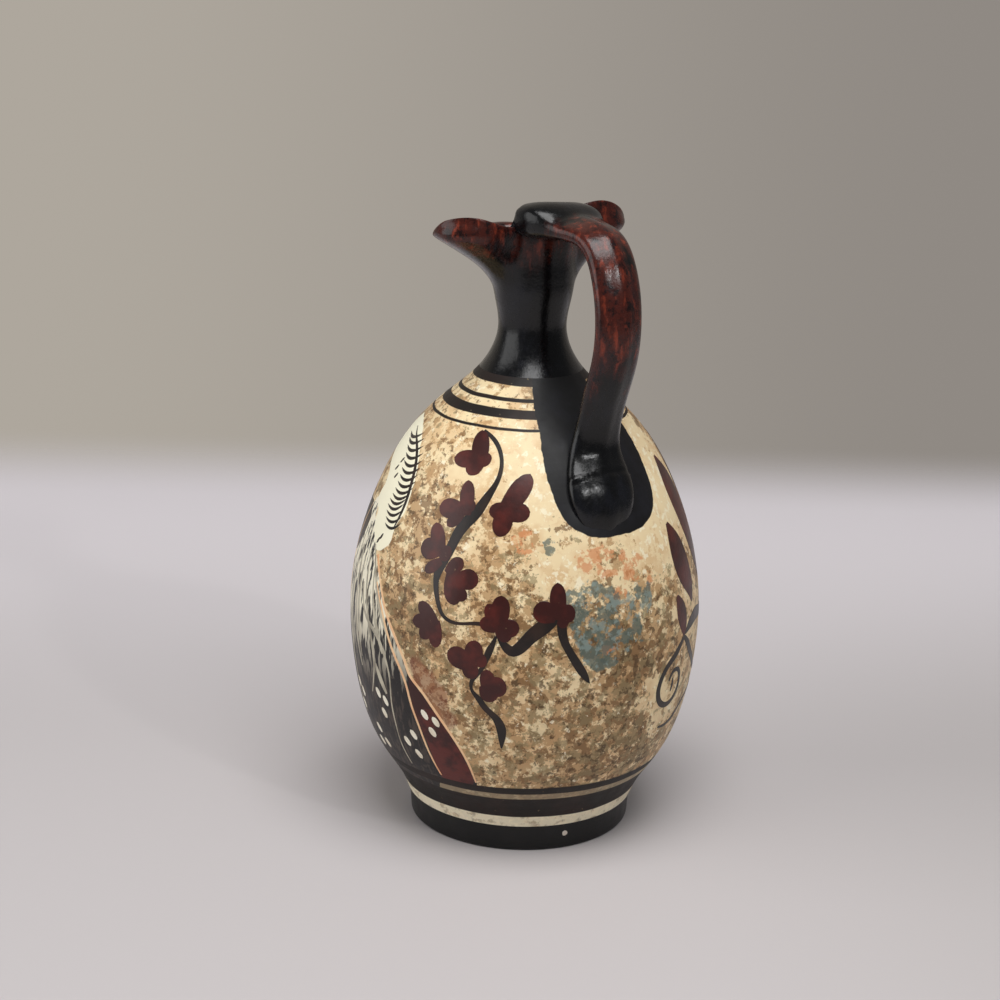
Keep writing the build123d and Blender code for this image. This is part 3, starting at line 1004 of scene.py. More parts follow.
@dataclass
class ThrownMembers:
    """Foot ring, body and neck: the members turned on the wheel."""

    wall: Wall
    neck_joint: float = 117.1
    neck_top: float = 134.0
    neck_end: float = 133.5
    foot_radius: float = 27.9
    foot_top_radius: float = 28.4
    foot_bore: float = 21.0
    foot_height: float = 7.0
    foot_round: float = 0.8
    neck_flare: float = 0.107
    segments: int = 320
    field_margin: float = 12.0
    field_far: float = 40.0

    def section_mesh(self, name: str, section: np.ndarray) -> bpy.types.Mesh:
        """Half section as a chain of points.

        Args:
            name: mesh name.
            section: rows of radius and height.

        Returns:
            The mesh.
        """
        spots = np.stack([section[:, 0], np.zeros(len(section)), section[:, 1]], axis=1)
        return mesh_of(name, spots, [], [(k, k + 1) for k in range(len(spots) - 1)])

    def turn(self, name: str, section: np.ndarray, material: bpy.types.Material) -> bpy.types.Object:
        """Turns a half section into a piece.

        Args:
            name: piece name.
            section: rows of radius and height.
            material: its finish.

        Returns:
            The piece.
        """
        values = {"Segments": self.segments, "Material": material}
        obj = turned_tree().run(name, self.section_mesh(name, section), values)
        face_outwards(obj.data)
        return obj

    def build_body(self, finish: BodyPaint) -> bpy.types.Object:
        """Makes the body with the distances to its painted fields kept on its points.

        Args:
            finish: its finish.

        Returns:
            The piece.
        """
        w = self.wall
        outer = w.stretch(w.base, self.neck_joint, 150)
        inner = w.stretch(w.base + w.floor, self.neck_joint, 34, w.thickness)[::-1]
        under = np.array([(0.0, w.base), (14.0, w.base), (24.0, w.base)])
        floor = np.array([(14.0, w.base + w.floor), (0.0, w.base + w.floor)])
        obj = self.turn("body", np.concatenate([under, outer, inner, floor]), finish.material(w))
        for painted in finish.fields():
            self.mark_field(obj.data, painted)
        return add_piece(obj, ["body_shell", "neck_luting_slip"])

    def mark_field(self, mesh: bpy.types.Mesh, painted: Field) -> None:
        """Keeps on each point how far inside a painted field it lies, in millimetres.

        Args:
            mesh: the body's mesh.
            painted: the field.
        """
        spots = np.array([v.co for v in mesh.vertices]) / MM
        ring = smooth_curve([*painted.outline, painted.outline[0]], 360)
        edge = self.wall.spots(ring)
        middle = float(ring[:, 0].mean())
        bearing = np.degrees(np.arctan2(spots[:, 0], -spots[:, 1])) - VIEW_TURN
        bearing = (bearing - middle + 180) % 360 - 180 + middle
        low, high = ring.min(axis=0) - self.field_margin, ring.max(axis=0) + self.field_margin
        close = (bearing > low[0]) & (bearing < high[0]) & (spots[:, 2] > low[1]) & (spots[:, 2] < high[1])
        away = np.full(len(spots), self.field_far)
        inside = np.zeros(len(spots), bool)
        for (ax, ay), (bx, by), corner in zip(ring[:-1], ring[1:], edge):
            away[close] = np.minimum(away[close], np.linalg.norm(spots[close] - corner, axis=1))
            if ay != by:
                level = spots[:, 2]
                beyond = bearing < (bx - ax) * (level - ay) / (by - ay) + ax
                inside ^= ((ay > level) != (by > level)) & beyond
        values = np.where(inside, away, -away)
        layer = mesh.attributes.new(painted.name, "FLOAT", "POINT")
        layer.data.foreach_set("value", values.astype(np.float32))

    def build_neck(self, finish: GlossySlip) -> bpy.types.Object:
        """Makes the neck, a waisted tube.

        Args:
            finish: its finish.

        Returns:
            The piece.
        """
        w = self.wall
        end = [(w.radius(self.neck_end) + self.neck_flare, self.neck_top)]
        outer = np.concatenate([w.stretch(self.neck_joint, self.neck_end, 40), end])
        inner = outer[::-3] - np.array([w.thickness, 0.0])
        inner = np.concatenate([inner, [(outer[0, 0] - w.thickness, outer[0, 1])]])
        section = np.concatenate([outer, inner, outer[:1]])
        obj = self.turn("neck", section, finish.material())
        return add_piece(obj, ["neck", "mouth_luting_slip"])

    def build_foot(self, finish: BlackSlip) -> bpy.types.Object:
        """Makes the foot ring with rounded lower edges.

        Args:
            finish: its finish.

        Returns:
            The piece.
        """
        bend = np.linspace(0, math.pi / 2, 6)
        r = self.foot_round
        outer = np.stack([self.foot_radius - r + r * np.sin(bend), r - r * np.cos(bend)], axis=1)
        inner = np.stack([self.foot_bore + r - r * np.cos(bend), r - r * np.sin(bend)], axis=1)
        side = np.linspace(0, 1, 8)[1:, None]
        rise = outer[-1] + (np.array([self.foot_top_radius, self.foot_height]) - outer[-1]) * side
        back = np.array([(self.foot_bore, self.foot_height), (self.foot_bore, 3.0)])
        section = np.concatenate([outer, rise, back, inner, outer[:1]])
        obj = self.turn("foot", section, finish.material())
        return add_piece(obj, ["foot_ring", "foot_luting_slip"])


@dataclass
class TrefoilMouth:
    """The mouth: three flaring lobes with two front pinches and a rounded, waving lip."""

    base: float = 134.0
    bore: float = 6.0
    stations: tuple[tuple[float, float, float], ...] = (
        (0.0, 9.2, 9.2), (4.0, 10.6, 9.7), (9.2, 15.2, 9.8), (12.6, 20.2, 10.0), (15.2, 24.4, 10.2),
            (17.6, 26.9, 10.3), (20.5, 25.8, 10.3), (29.0, 22.0, 10.3),
    )
    lip_thickness: float = 2.3
    lip_inset: float = 1.2
    pinch_wall: float = 2.5
    lip_round: float = 1.1
    lobes: tuple[Spot, ...] = ((-96.0, 1.0), (90.0, 0.86), (180.0, 0.74))
    spread: float = 31.0
    fullness: float = 3.0
    neck_radius: float = 9.28
    neck_slope: float = 0.214
    neck_blend: float = 5.5
    rim_steps: tuple[Spot, ...] = (
        (-40.0, 15.8), (-9.0, 15.9), (-5.6, 17.3), (-2.7, 19.7), (0.0, 21.1), (3.5, 22.2), (5.0, 22.5),
            (9.0, 23.1), (40.0, 23.1),
    )
    rim_swells: tuple[tuple[float, float, float], ...] = ((-61.0, 9.0, -3.8), (64.0, 11.0, 1.6),
        (90.0, 15.0, -4.4))
    around: int = 216
    table: np.ndarray = field(init=False)
    angles: np.ndarray = field(init=False)
    rim: np.ndarray = field(init=False)

    def __post_init__(self) -> None:
        """Works out the flare's table and the rim's wave."""
        self.table = smooth_curve(self.stations, 400)
        self.angles = np.arange(self.around) * 360.0 / self.around
        self.rim = self.rim_line()

    def swelling(self, angle: np.ndarray, centre: float) -> np.ndarray:
        """Share of a lobe's reach at an angle from the handle."""
        turn = (angle - centre + 180) % 360 - 180
        return np.exp(-(np.abs(turn / self.spread) ** self.fullness))

    def share(self, angle: np.ndarray) -> np.ndarray:
        """Share of the side lobes' reach at an angle from the handle."""
        return sum(part * self.swelling(angle, centre) for centre, part in self.lobes)

    def outer(self, angle: np.ndarray, height: np.ndarray) -> np.ndarray:
        """Outer radius at an angle and height."""
        lobe = np.interp(height - self.base, self.table[:, 0], self.table[:, 1])
        pinch = np.interp(height - self.base, self.table[:, 0], self.table[:, 2])
        free = pinch + (lobe - pinch) * self.share(angle)
        neck = self.neck_radius + self.neck_slope * (height - self.base)
        return neck + (free - neck) * soft_step(height - self.base, 0.0, self.neck_blend)

    def inner(self, angle: np.ndarray, height: np.ndarray) -> np.ndarray:
        """Inner radius at an angle and height."""
        rise = np.maximum(height - self.base - self.lip_thickness, 0.0)
        lobe = np.interp(rise, self.table[:, 0], self.table[:, 1]) - self.lip_inset
        pinch = np.interp(rise, self.table[:, 0], self.table[:, 2]) - self.pinch_wall
        free = pinch + (lobe - pinch) * self.share(angle)
        share = soft_step(height - self.base, 0.0, 4.0 + self.lip_thickness)
        return self.bore + (free - self.bore) * share

    def rim_line(self) -> np.ndarray:
        """Height of the lip at each angle, climbing towards the handle, smoothed round the mouth."""
        heights = np.linspace(self.base + 6, self.base + 28, 500)
        grid, angle = np.meshgrid(heights, self.angles)
        steps = np.array(self.rim_steps)
        cut = self.base + np.interp(self.outer(angle, grid) * np.cos(np.radians(angle)), steps[:, 0], steps[:, 1])
        rim = heights[np.argmax(grid >= cut, axis=1)]
        for centre, width, swell in self.rim_swells:
            turn = (self.angles - centre + 180) % 360 - 180
            rim = rim + swell * np.exp(-((turn / width) ** 2))
        window = np.exp(-((np.arange(-12, 13) / 3.0) ** 2))
        wide = np.concatenate([rim[-12:], rim, rim[:12]])
        return np.convolve(wide, window / window.sum(), mode="valid")

    def rim_at(self, angle: np.ndarray) -> np.ndarray:
        """Height of the lip at any angle."""
        return np.interp(angle % 360, np.append(self.angles, 360.0), np.append(self.rim, self.rim[0]))

    def middle(self, angle: np.ndarray, height: np.ndarray) -> np.ndarray:
        """Radius of the middle of the wall."""
        return (self.outer(angle, height) + self.inner(angle, height)) / 2

    def build(self, finish: GlossySlip) -> bpy.types.Object:
        """Makes the mouth.

        Args:
            finish: its finish.

        Returns:
            The piece.
        """
        top = self.rim - self.lip_round
        rows: list[np.ndarray] = []
        up = np.linspace(0, 1, 30)
        for t in up:
            height = self.base + (top - self.base) * t
            rows.append(np.stack([self.outer(self.angles, height), height], axis=1))
        inside = self.inner(self.angles, top)
        outside = self.outer(self.angles, top)
        for t in np.linspace(0, math.pi, 9)[1:-1]:
            radius = (outside + inside) / 2 + (outside - inside) / 2 * math.cos(t)
            rows.append(np.stack([radius, top + self.lip_round * math.sin(t)], axis=1))
        for t in up[::-1]:
            height = self.base + (top - self.base) * t
            rows.append(np.stack([self.inner(self.angles, height), height], axis=1))
        bend = np.radians(self.angles)
        spots = [np.stack([r[:, 0] * np.cos(bend), r[:, 0] * np.sin(bend), r[:, 1]], axis=1) for r in rows]
        faces = ring_faces(len(rows), self.around, False, False)
        last = (len(rows) - 1) * self.around
        for k in range(self.around):
            n = (k + 1) % self.around
            faces.append((last + k, last + n, n, k))
        mesh = mesh_of("mouth", np.concatenate(spots), faces)
        face_outwards(mesh)
        mesh.shade_smooth()
        mesh.materials.append(finish.material())
        obj = linked("mouth", mesh)
        return add_piece(obj, ["trefoil_mouth"])


@dataclass
class StrapHandle:
    """The handle: a strap with a soft ridge, saddled on the mouth's back, spread on the shoulder as a tongue."""

    wall: Wall
    mouth: TrefoilMouth
    crown: float = 159.5
    ridge: float = 0.7
    ridge_share: float = 0.33
    roundness: float = 2.4
    saddle_squareness: float = 0.7
    saddle_roll: float = 0.085
    saddle_round: float = 1.9
    around: int = 48
    rings: int = 170
    lean: float = 1.8
    free: tuple[tuple[float, float, float, float], ...] = (
        (6.0, 5.4, 21.4, 9.2), (11.5, 4.9, 21.4, 9.2), (17.3, 5.6, 16.0, 6.0), (27.7, 7.4, 12.4, 5.4),
            (33.1, 15.2, 12.4, 5.4),
        (34.9, 23.9, 12.4, 5.4), (34.1, 33.9, 12.4, 5.4), (31.4, 41.9, 12.4, 5.4), (28.8, 49.9, 12.4, 5.4),
    )
    luted: tuple[tuple[float, float, float, float], ...] = (
        (57.9, 2.9, 14.8, 5.4), (65.4, 2.3, 18.0, 5.4), (71.4, 0.8, 15.0, 4.5), (75.4, -2.0, 8.0, 3.0),
    )

    def route(self) -> np.ndarray:
        """Centre, width and thickness of the strap from mouth to shoulder.

        Returns:
            Rows of x, y, z, width and thickness.
        """
        rows = [(out, 0.0, self.crown - drop, width, thick) for out, drop, width, thick in self.free]
        for drop, relief, width, thick in self.luted:
            height = self.crown - drop
            lean = self.lean * min(1.0, (drop - 49.9) / 15.5)
            rows.append((float(self.wall.radius(height)) + relief - thick / 2, -lean, height, width, thick))
        return smooth_curve(rows, self.rings)

    def ring(self, width: float, thick: float) -> np.ndarray:
        """Points of one section, across and outwards.

        Args:
            width: strap width.
            thick: strap thickness.

        Returns:
            Rows of across and out.
        """
        angle = np.arange(self.around) * math.tau / self.around
        soft = min(max((width - 13) / 9, 0.0), 1.0) if thick > 5.5 else 0.0
        power = 2 / (self.roundness + self.saddle_squareness * soft)
        across = np.sign(np.cos(angle)) * np.abs(np.cos(angle)) ** power * width / 2
        out = np.sign(np.sin(angle)) * np.abs(np.sin(angle)) ** power * thick / 2
        swell = self.ridge * (1 - soft) * np.exp(-((across / (self.ridge_share * width / 2)) ** 2))
        roll = self.saddle_roll * soft * across
        return np.stack([across, np.where(out > 0, out + swell, out) - roll], axis=1)

    def build(self, finish: GlossySlip) -> bpy.types.Object:
        """Makes the handle.

        Args:
            finish: its finish.

        Returns:
            The piece.
        """
        route = self.route()
        ahead = np.gradient(route[:, :3], axis=0)
        spots = []
        for row, step in zip(route, ahead):
            along = np.array([step[0], 0.0, step[2]])
            along /= np.linalg.norm(along)
            out = np.array([-along[2], 0.0, along[0]])
            section = self.ring(row[3], row[4])
            spots.append(row[:3] + section[:, :1] * np.array([0.0, 1.0, 0.0]) + section[:, 1:] * out)
        points = self.seat(np.concatenate(spots))
        mesh = mesh_of("handle", points, ring_faces(len(route), self.around, True, True))
        face_outwards(mesh)
        mesh.shade_smooth()
        mesh.materials.append(finish.material())
        obj = linked("handle", mesh)
        return add_piece(obj, ["handle", "handle_top_luting_slip", "handle_root_luting_slip"])

    def seat(self, points: np.ndarray) -> np.ndarray:
        """Ends the strap in the middle of the mouth's wall and rounds it down on to the rim.

        Args:
            points: the strap's points.

        Returns:
            The points, moved.
        """
        moved = points.copy()
        high = moved[:, 2] > self.mouth.base + 4
        angle = np.degrees(np.arctan2(moved[:, 1], moved[:, 0])) % 360
        rim = self.mouth.rim_at(angle)
        level = np.minimum(moved[:, 2], rim - self.mouth.lip_round)
        least = self.mouth.middle(angle, level)
        radius = np.hypot(moved[:, 0], moved[:, 1])
        push = high & (radius < least)
        factor = np.where(push, least / np.maximum(radius, 1e-6), 1.0)
        moved[:, :2] *= factor[:, None]
        room = np.clip((np.maximum(radius, least) - least) / self.saddle_round, 0.0, 1.0)
        rounded = np.sqrt(1 - (1 - room) ** 2)
        over = high & (moved[:, 2] > rim - 0.4)
        moved[:, 2] = np.where(over, rim - 0.4 + (moved[:, 2] - rim + 0.4) * rounded, moved[:, 2])
        return moved


@dataclass(frozen=True)
class Stroke:
    """One brush stroke: places on the wall and half widths along it."""

    places: tuple[Spot, ...]
    widths: tuple[float, ...]

    def mirrored(self, axis: float) -> "Stroke":
        """The stroke mirrored about a bearing."""
        return Stroke(tuple((2 * axis - b, z) for b, z in self.places), self.widths)


@dataclass(frozen=True)
class Dab:
    """One touch of the brush, a millimetre long, straight or curled."""

    name: str
    fatness: float
    curl: float = 0.0
    stations: int = 9

    def build(self) -> bpy.types.Object:
        """Makes the dab as a thin closed mesh that is not shown by itself."""
        rows, face = [], []
        for t in np.linspace(-0.5, 0.5, self.stations):
            half = self.fatness * math.sqrt(max(0.0, 1 - (2 * t) ** 2)) + 0.002
            middle = self.curl * (4 * t * t - 0.5)
            for side, up in ((-1.0, 0.0), (-0.8, 1.0), (0.8, 1.0), (1.0, 0.0), (0.0, 0.0)):
                rows.append((t, middle + side * half, 0.02 * up - 0.01))
                face.append(up)
        mesh = mesh_of(self.name, np.array(rows), ring_faces(self.stations, 5, True, True))
        layer = mesh.attributes.new("face", "FLOAT", "POINT")
        layer.data.foreach_set("value", face)
        return bpy.data.objects.new(self.name, mesh)


@dataclass(frozen=True)
class Touch:
    """Where a dab is set: place on the wall, length, and tilt from level in degrees."""

    place: Spot
    length: float
    tilt: float


@dataclass
class Ornament:
    """Slip painting laid on the body as thin films: ivy, palmette, volutes and a long-tailed bird."""

    wall: Wall
    body: bpy.types.Object
    lift: float = 0.05
    sink: float = 0.05
    step: float = 0.7
    sides: int = 14

    def smooth(self, stroke: Stroke) -> tuple[np.ndarray, np.ndarray]:
        """Fine points of a stroke on the wall.

        Args:
            stroke: the stroke.

        Returns:
            Points and half widths.
        """
        rough = self.wall.spots(stroke.places)
        length = float(np.linalg.norm(np.diff(rough, axis=0), axis=1).sum())
        count = max(8, int(length / self.step))
        rows = [(b, z, w) for (b, z), w in zip(stroke.places, stroke.widths)]
        scale = np.array([1 / self.wall.degrees(1.0, float(np.mean([z for _, z in stroke.places]))), 1.0, 1.0])
        fine = smooth_curve(np.array(rows) * scale, count) / scale
        return self.wall.spots(fine[:, :2]), np.maximum(fine[:, 2], 0.04)

    def film_values(self, finish: SlipFilm, lift: float) -> dict[str, Any]:
        """Values of a film's tree inputs.

        Args:
            finish: its finish.
            lift: extra height over other films.

        Returns:
            Input name to value.
        """
        height = (self.lift + lift) * MM
        return {"Wall": self.body, "Lift": height, "Sink": self.sink * MM, "Material": finish.material()}

    def film(self, name: str, strokes: Sequence[Stroke], finish: SlipFilm, lift: float = 0.0) -> bpy.types.Object:
        """Lays strokes on the body as one piece.

        Args:
            name: piece name.
            strokes: the strokes.
            finish: its finish.
            lift: extra height over other films.

        Returns:
            The piece.
        """
        spots, widths, edges = [], [], []
        count = 0
        for stroke in strokes:
            line, width = self.smooth(stroke)
            edges += [(count + k, count + k + 1) for k in range(len(line) - 1)]
            count += len(line)
            spots.append(line)
            widths.append(width)
        mesh = mesh_of(name, np.concatenate(spots), [], edges)
        layer = mesh.attributes.new("half_width", "FLOAT", "POINT")
        layer.data.foreach_set("value", (np.concatenate(widths) * MM).astype(np.float32))
        values = {"Sides": self.sides, **self.film_values(finish, lift)}
        obj = stroke_tree().run(name, mesh, values)
        face_outwards(obj.data)
        return add_piece(obj, (), FILM_SHARP)

    def dabs(
        self, name: str, dab: Dab, touches: Sequence[Touch], finish: SlipFilm, lift: float = 0.0
    ) -> bpy.types.Object:
        """Sets dabs of the brush on the body as one piece.

        Args:
            name: piece name.
            dab: the touch that is repeated.
            touches: where it is set.
            finish: its finish.
            lift: extra height over other films.

        Returns:
            The piece.
        """
        places = [t.place for t in touches]
        mesh = mesh_of(name, self.wall.spots(places), [])
        facing = self.wall.facing(places)
        level = np.stack([-facing[:, 1], facing[:, 0], np.zeros(len(facing))], axis=1)
        level /= np.linalg.norm(level, axis=1)[:, None]
        up = np.cross(facing, level)
        tilt = np.radians([t.tilt for t in touches])[:, None]
        along = level * np.cos(tilt) + up * np.sin(tilt)
        stretch = np.array([(t.length, t.length, 1.0) for t in touches])
        for key, rows in (("facing", facing), ("along", along), ("stretch", stretch)):
            layer = mesh.attributes.new(key, "FLOAT_VECTOR", "POINT")
            layer.data.foreach_set("vector", rows.astype(np.float32).ravel())
        source = dab.build()
        values = {"Dab": source, **self.film_values(finish, lift)}
        obj = dab_tree().run(name, mesh, values)
        bpy.data.objects.remove(source)
        face_outwards(obj.data)
        return add_piece(obj, (), FILM_SHARP)


@dataclass
class Ivy:
    """An ivy branch with three-lobed leaves, painted on the handle's side and again, mirrored, on the far side."""

    ornament: Ornament
    far_axis: float = -94.0
    leaves: tuple[tuple[tuple[Spot, Spot, float], ...], ...] = (
        (((-22.5, 98.9), (-27.8, 106.3), 2.28), ((-21.5, 100.7), (-36.9, 100.0), 2.39),
            ((-23.0, 101.3), (-27.1, 97.1), 2.17), ((-24.6, 101.2), (-18.4, 100.0), 1.9)),
        (((-23.9, 88.5), (-26.2, 96.0), 1.95), ((-25.7, 89.6), (-35.9, 89.3), 2.49),
            ((-25.5, 89.1), (-30.7, 85.6), 1.63), ((-26.2, 90.7), (-20.7, 90.7), 1.63)),
        (((-10.2, 89.6), (0.3, 98.4), 2.49), ((-9.0, 89.9), (0.5, 90.4), 2.39),
            ((-8.5, 91.8), (-10.5, 84.7), 2.44), ((-7.1, 90.9), (-15.2, 89.9), 2.03)),
        (((-30.8, 79.3), (-35.5, 85.8), 2.06), ((-31.1, 80.3), (-39.5, 79.4), 2.71),
            ((-30.2, 77.7), (-35.9, 74.5), 1.49), ((-31.4, 80.0), (-26.9, 79.0), 2.03)),
        (((-27.2, 75.0), (-22.5, 79.0), 1.91), ((-23.7, 73.7), (-16.1, 75.2), 2.55),
            ((-25.5, 75.5), (-23.4, 68.2), 2.49), ((-24.8, 72.1), (-19.5, 70.0), 1.75)),
        (((-29.3, 63.0), (-36.2, 67.3), 1.91), ((-29.4, 63.6), (-38.2, 62.3), 1.98),
            ((-29.8, 63.5), (-34.7, 58.8), 1.98), ((-29.4, 63.9), (-29.1, 57.1), 1.91)),
        (((-8.7, 64.5), (-12.5, 69.5), 1.85), ((-8.3, 64.5), (-8.1, 71.7), 2.3),
            ((-9.1, 63.9), (-14.4, 65.6), 1.91), ((-8.7, 64.2), (-2.0, 64.2), 2.23),
            ((-8.7, 65.1), (-5.4, 60.9), 1.98)),
        (((10.1, 66.3), (10.0, 74.9), 2.04), ((9.5, 67.2), (2.2, 69.1), 2.71), ((9.9, 67.5), (15.6, 67.9), 2.3),
            ((9.9, 66.3), (13.5, 65.6), 1.75)),
        (((-16.7, 54.2), (-24.6, 57.1), 2.74), ((-16.7, 53.9), (-15.6, 60.6), 2.36),
            ((-15.9, 55.2), (-12.0, 56.5), 1.91), ((-17.6, 55.7), (-16.5, 50.8), 2.1)),
        (((-11.3, 47.8), (-11.8, 53.7), 1.91), ((-11.8, 48.8), (-5.5, 50.0), 2.71),
            ((-12.6, 49.7), (-9.7, 45.5), 2.3)),
    )
    stems: tuple[Stroke, ...] = (
        Stroke(((-26.6, 106.3), (-20.1, 105.0), (-15.3, 103.0), (-13.1, 100.7), (-12.8, 98.5), (-14.2, 95.7),
            (-16.9, 92.8), (-20.2, 89.3), (-24.0, 86.4), (-26.4, 83.2), (-28.3, 79.6), (-30.4, 76.1),
            (-31.0, 73.4), (-30.3, 70.5), (-28.8, 67.4), (-26.8, 65.2), (-24.0, 64.2), (-19.7, 64.2),
            (-16.4, 64.6), (-12.7, 64.6)), (0.38, 0.54, 0.54, 0.49, 0.54, 0.68, 1.08, 1.41, 1.49, 1.36, 1.3,
            1.28, 0.86, 0.7, 0.57, 0.48, 0.45, 0.38, 0.45, 0.57)),
        Stroke(((-8.6, 62.1), (-6.5, 60.0), (-4.1, 58.7), (-1.8, 59.6), (1.2, 62.1), (4.7, 64.3), (7.9, 66.1),
            (9.9, 67.2)), (0.38, 0.96, 1.34, 1.53, 1.66, 1.85, 1.59, 1.28)),
        Stroke(((11.3, 66.6), (11.3, 63.6), (12.2, 60.8), (14.5, 57.5), (17.5, 53.8), (19.3, 51.7),
            (20.6, 50.1)), (1.21, 1.21, 1.02, 1.02, 1.08, 0.77, 0.16)),
        Stroke(((-9.2, 62.1), (-9.9, 60.5), (-11.2, 58.2), (-12.3, 55.6), (-14.2, 52.8), (-16.6, 50.0),
            (-16.5, 48.0), (-14.6, 46.2), (-12.2, 43.7), (-9.3, 41.6), (-7.2, 38.9), (-6.8, 36.2),
            (-7.0, 32.9)), (0.32, 0.57, 0.89, 0.64, 0.57, 0.51, 0.41, 0.7, 0.8, 0.89, 1.21, 0.96, 0.19)),
    )

    def lobe(self, heart: Spot, tip: Spot, width: float) -> Stroke:
        """A rounded leaf lobe from the leaf's heart to a tip.

        Args:
            heart: bearing and height of the heart.
            tip: bearing and height of the tip.
            width: largest half width.

        Returns:
            The stroke.
        """
        places, widths = [], []
        for t in np.linspace(0, 1, 12):
            places.append((heart[0] + (tip[0] - heart[0]) * t, heart[1] + (tip[1] - heart[1]) * t))
            tail = 0.6 + 0.4 * math.sin(min(t / 0.55, 1.0) * math.pi / 2)
            widths.append(width * (tail if t < 0.55 else math.sqrt(max(0.0, 1 - ((t - 0.55) / 0.45) ** 2))))
        return Stroke(tuple(places), tuple(widths))

    def build(self, leaf: SlipFilm, stem: SlipFilm) -> None:
        """Paints both branches.

        Args:
            leaf: finish of the leaves.
            stem: finish of the stems.
        """
        lobes = [self.lobe(*lobe) for lobes in self.leaves for lobe in lobes]
        far = [s.mirrored(self.far_axis) for s in (*self.stems, *lobes)]
        self.ornament.film("ivy_stems", [*self.stems, *far[: len(self.stems)]], stem)
        self.ornament.film("ivy_leaves", [*lobes, *far[len(self.stems) :]], leaf, 0.015)


@dataclass
class Palmette:
    """A palmette on a pair of volutes, to the right of the handle."""

    ornament: Ornament
    axis: float = 95.0
    petals: tuple[Stroke, ...] = (
        Stroke(((75.0, 97.4), (76.6, 92.0), (79.5, 83.0), (81.5, 75.0), (83.5, 66.0)),
            (0.5, 4.0, 5.0, 3.8, 0.5)),
        Stroke(((60.9, 83.4), (63.4, 78.0), (66.0, 71.5), (68.6, 67.0), (70.0, 62.3)),
            (0.6, 3.5, 4.2, 2.9, 0.3)),
        Stroke(((58.5, 66.2), (60.7, 62.0), (62.2, 57.5), (62.7, 55.0)), (0.5, 2.4, 1.7, 0.3)),
    )
    middle: Stroke = Stroke(((95.0, 101.0), (95.0, 94.0), (95.0, 84.0), (95.0, 74.0), (95.0, 63.0)),
        (0.5, 4.0, 5.0, 3.8, 0.5))
    volutes: tuple[Stroke, ...] = (
        Stroke(
            ((63.0, 55.2), (60.0, 53.2), (57.3, 51.5), (52.9, 49.3), (49.9, 46.2), (49.4, 42.4), (52.6, 39.2),
                (57.7, 38.7), (61.2, 40.7), (62.0, 43.9), (60.0, 47.0), (56.9, 47.2), (54.8, 45.0)),
            (0.55, 0.8, 0.95, 0.85, 0.8, 0.8, 0.8, 0.7, 0.6, 0.6, 0.6, 0.55, 0.3),
        ),
        Stroke(((57.0, 45.4), (57.3, 43.6), (56.7, 41.8)), (0.25, 0.5, 0.25)),
        Stroke(((62.6, 55.0), (65.5, 53.0), (68.5, 50.3), (73.0, 47.0), (78.0, 43.8), (86.0, 41.0),
            (95.0, 40.0)), (0.5, 0.9, 1.0, 0.9, 0.8, 0.7, 0.7)),
        Stroke(((63.5, 55.6), (67.0, 57.0), (74.0, 58.2), (82.0, 57.2), (89.0, 56.6), (95.0, 56.4)),
            (0.4, 1.3, 1.8, 1.4, 1.1, 1.0)),
        Stroke(((53.6, 32.6), (58.0, 32.2), (62.2, 32.8), (69.3, 35.6), (80.0, 37.4), (95.0, 38.0)),
            (0.25, 0.5, 0.55, 0.55, 0.5, 0.5)),
    )

    def build(self, petal: SlipFilm, line: SlipFilm) -> None:
        """Paints the palmette.

        Args:
            petal: finish of the petals.
            line: finish of the volutes.
        """
        far = [s.mirrored(self.axis) for s in self.petals]
        self.ornament.film("palmette_petals", [self.middle, *self.petals, *far], petal)
        self.ornament.film("volutes", [*self.volutes, *(s.mirrored(self.axis) for s in self.volutes)], line, 0.015)


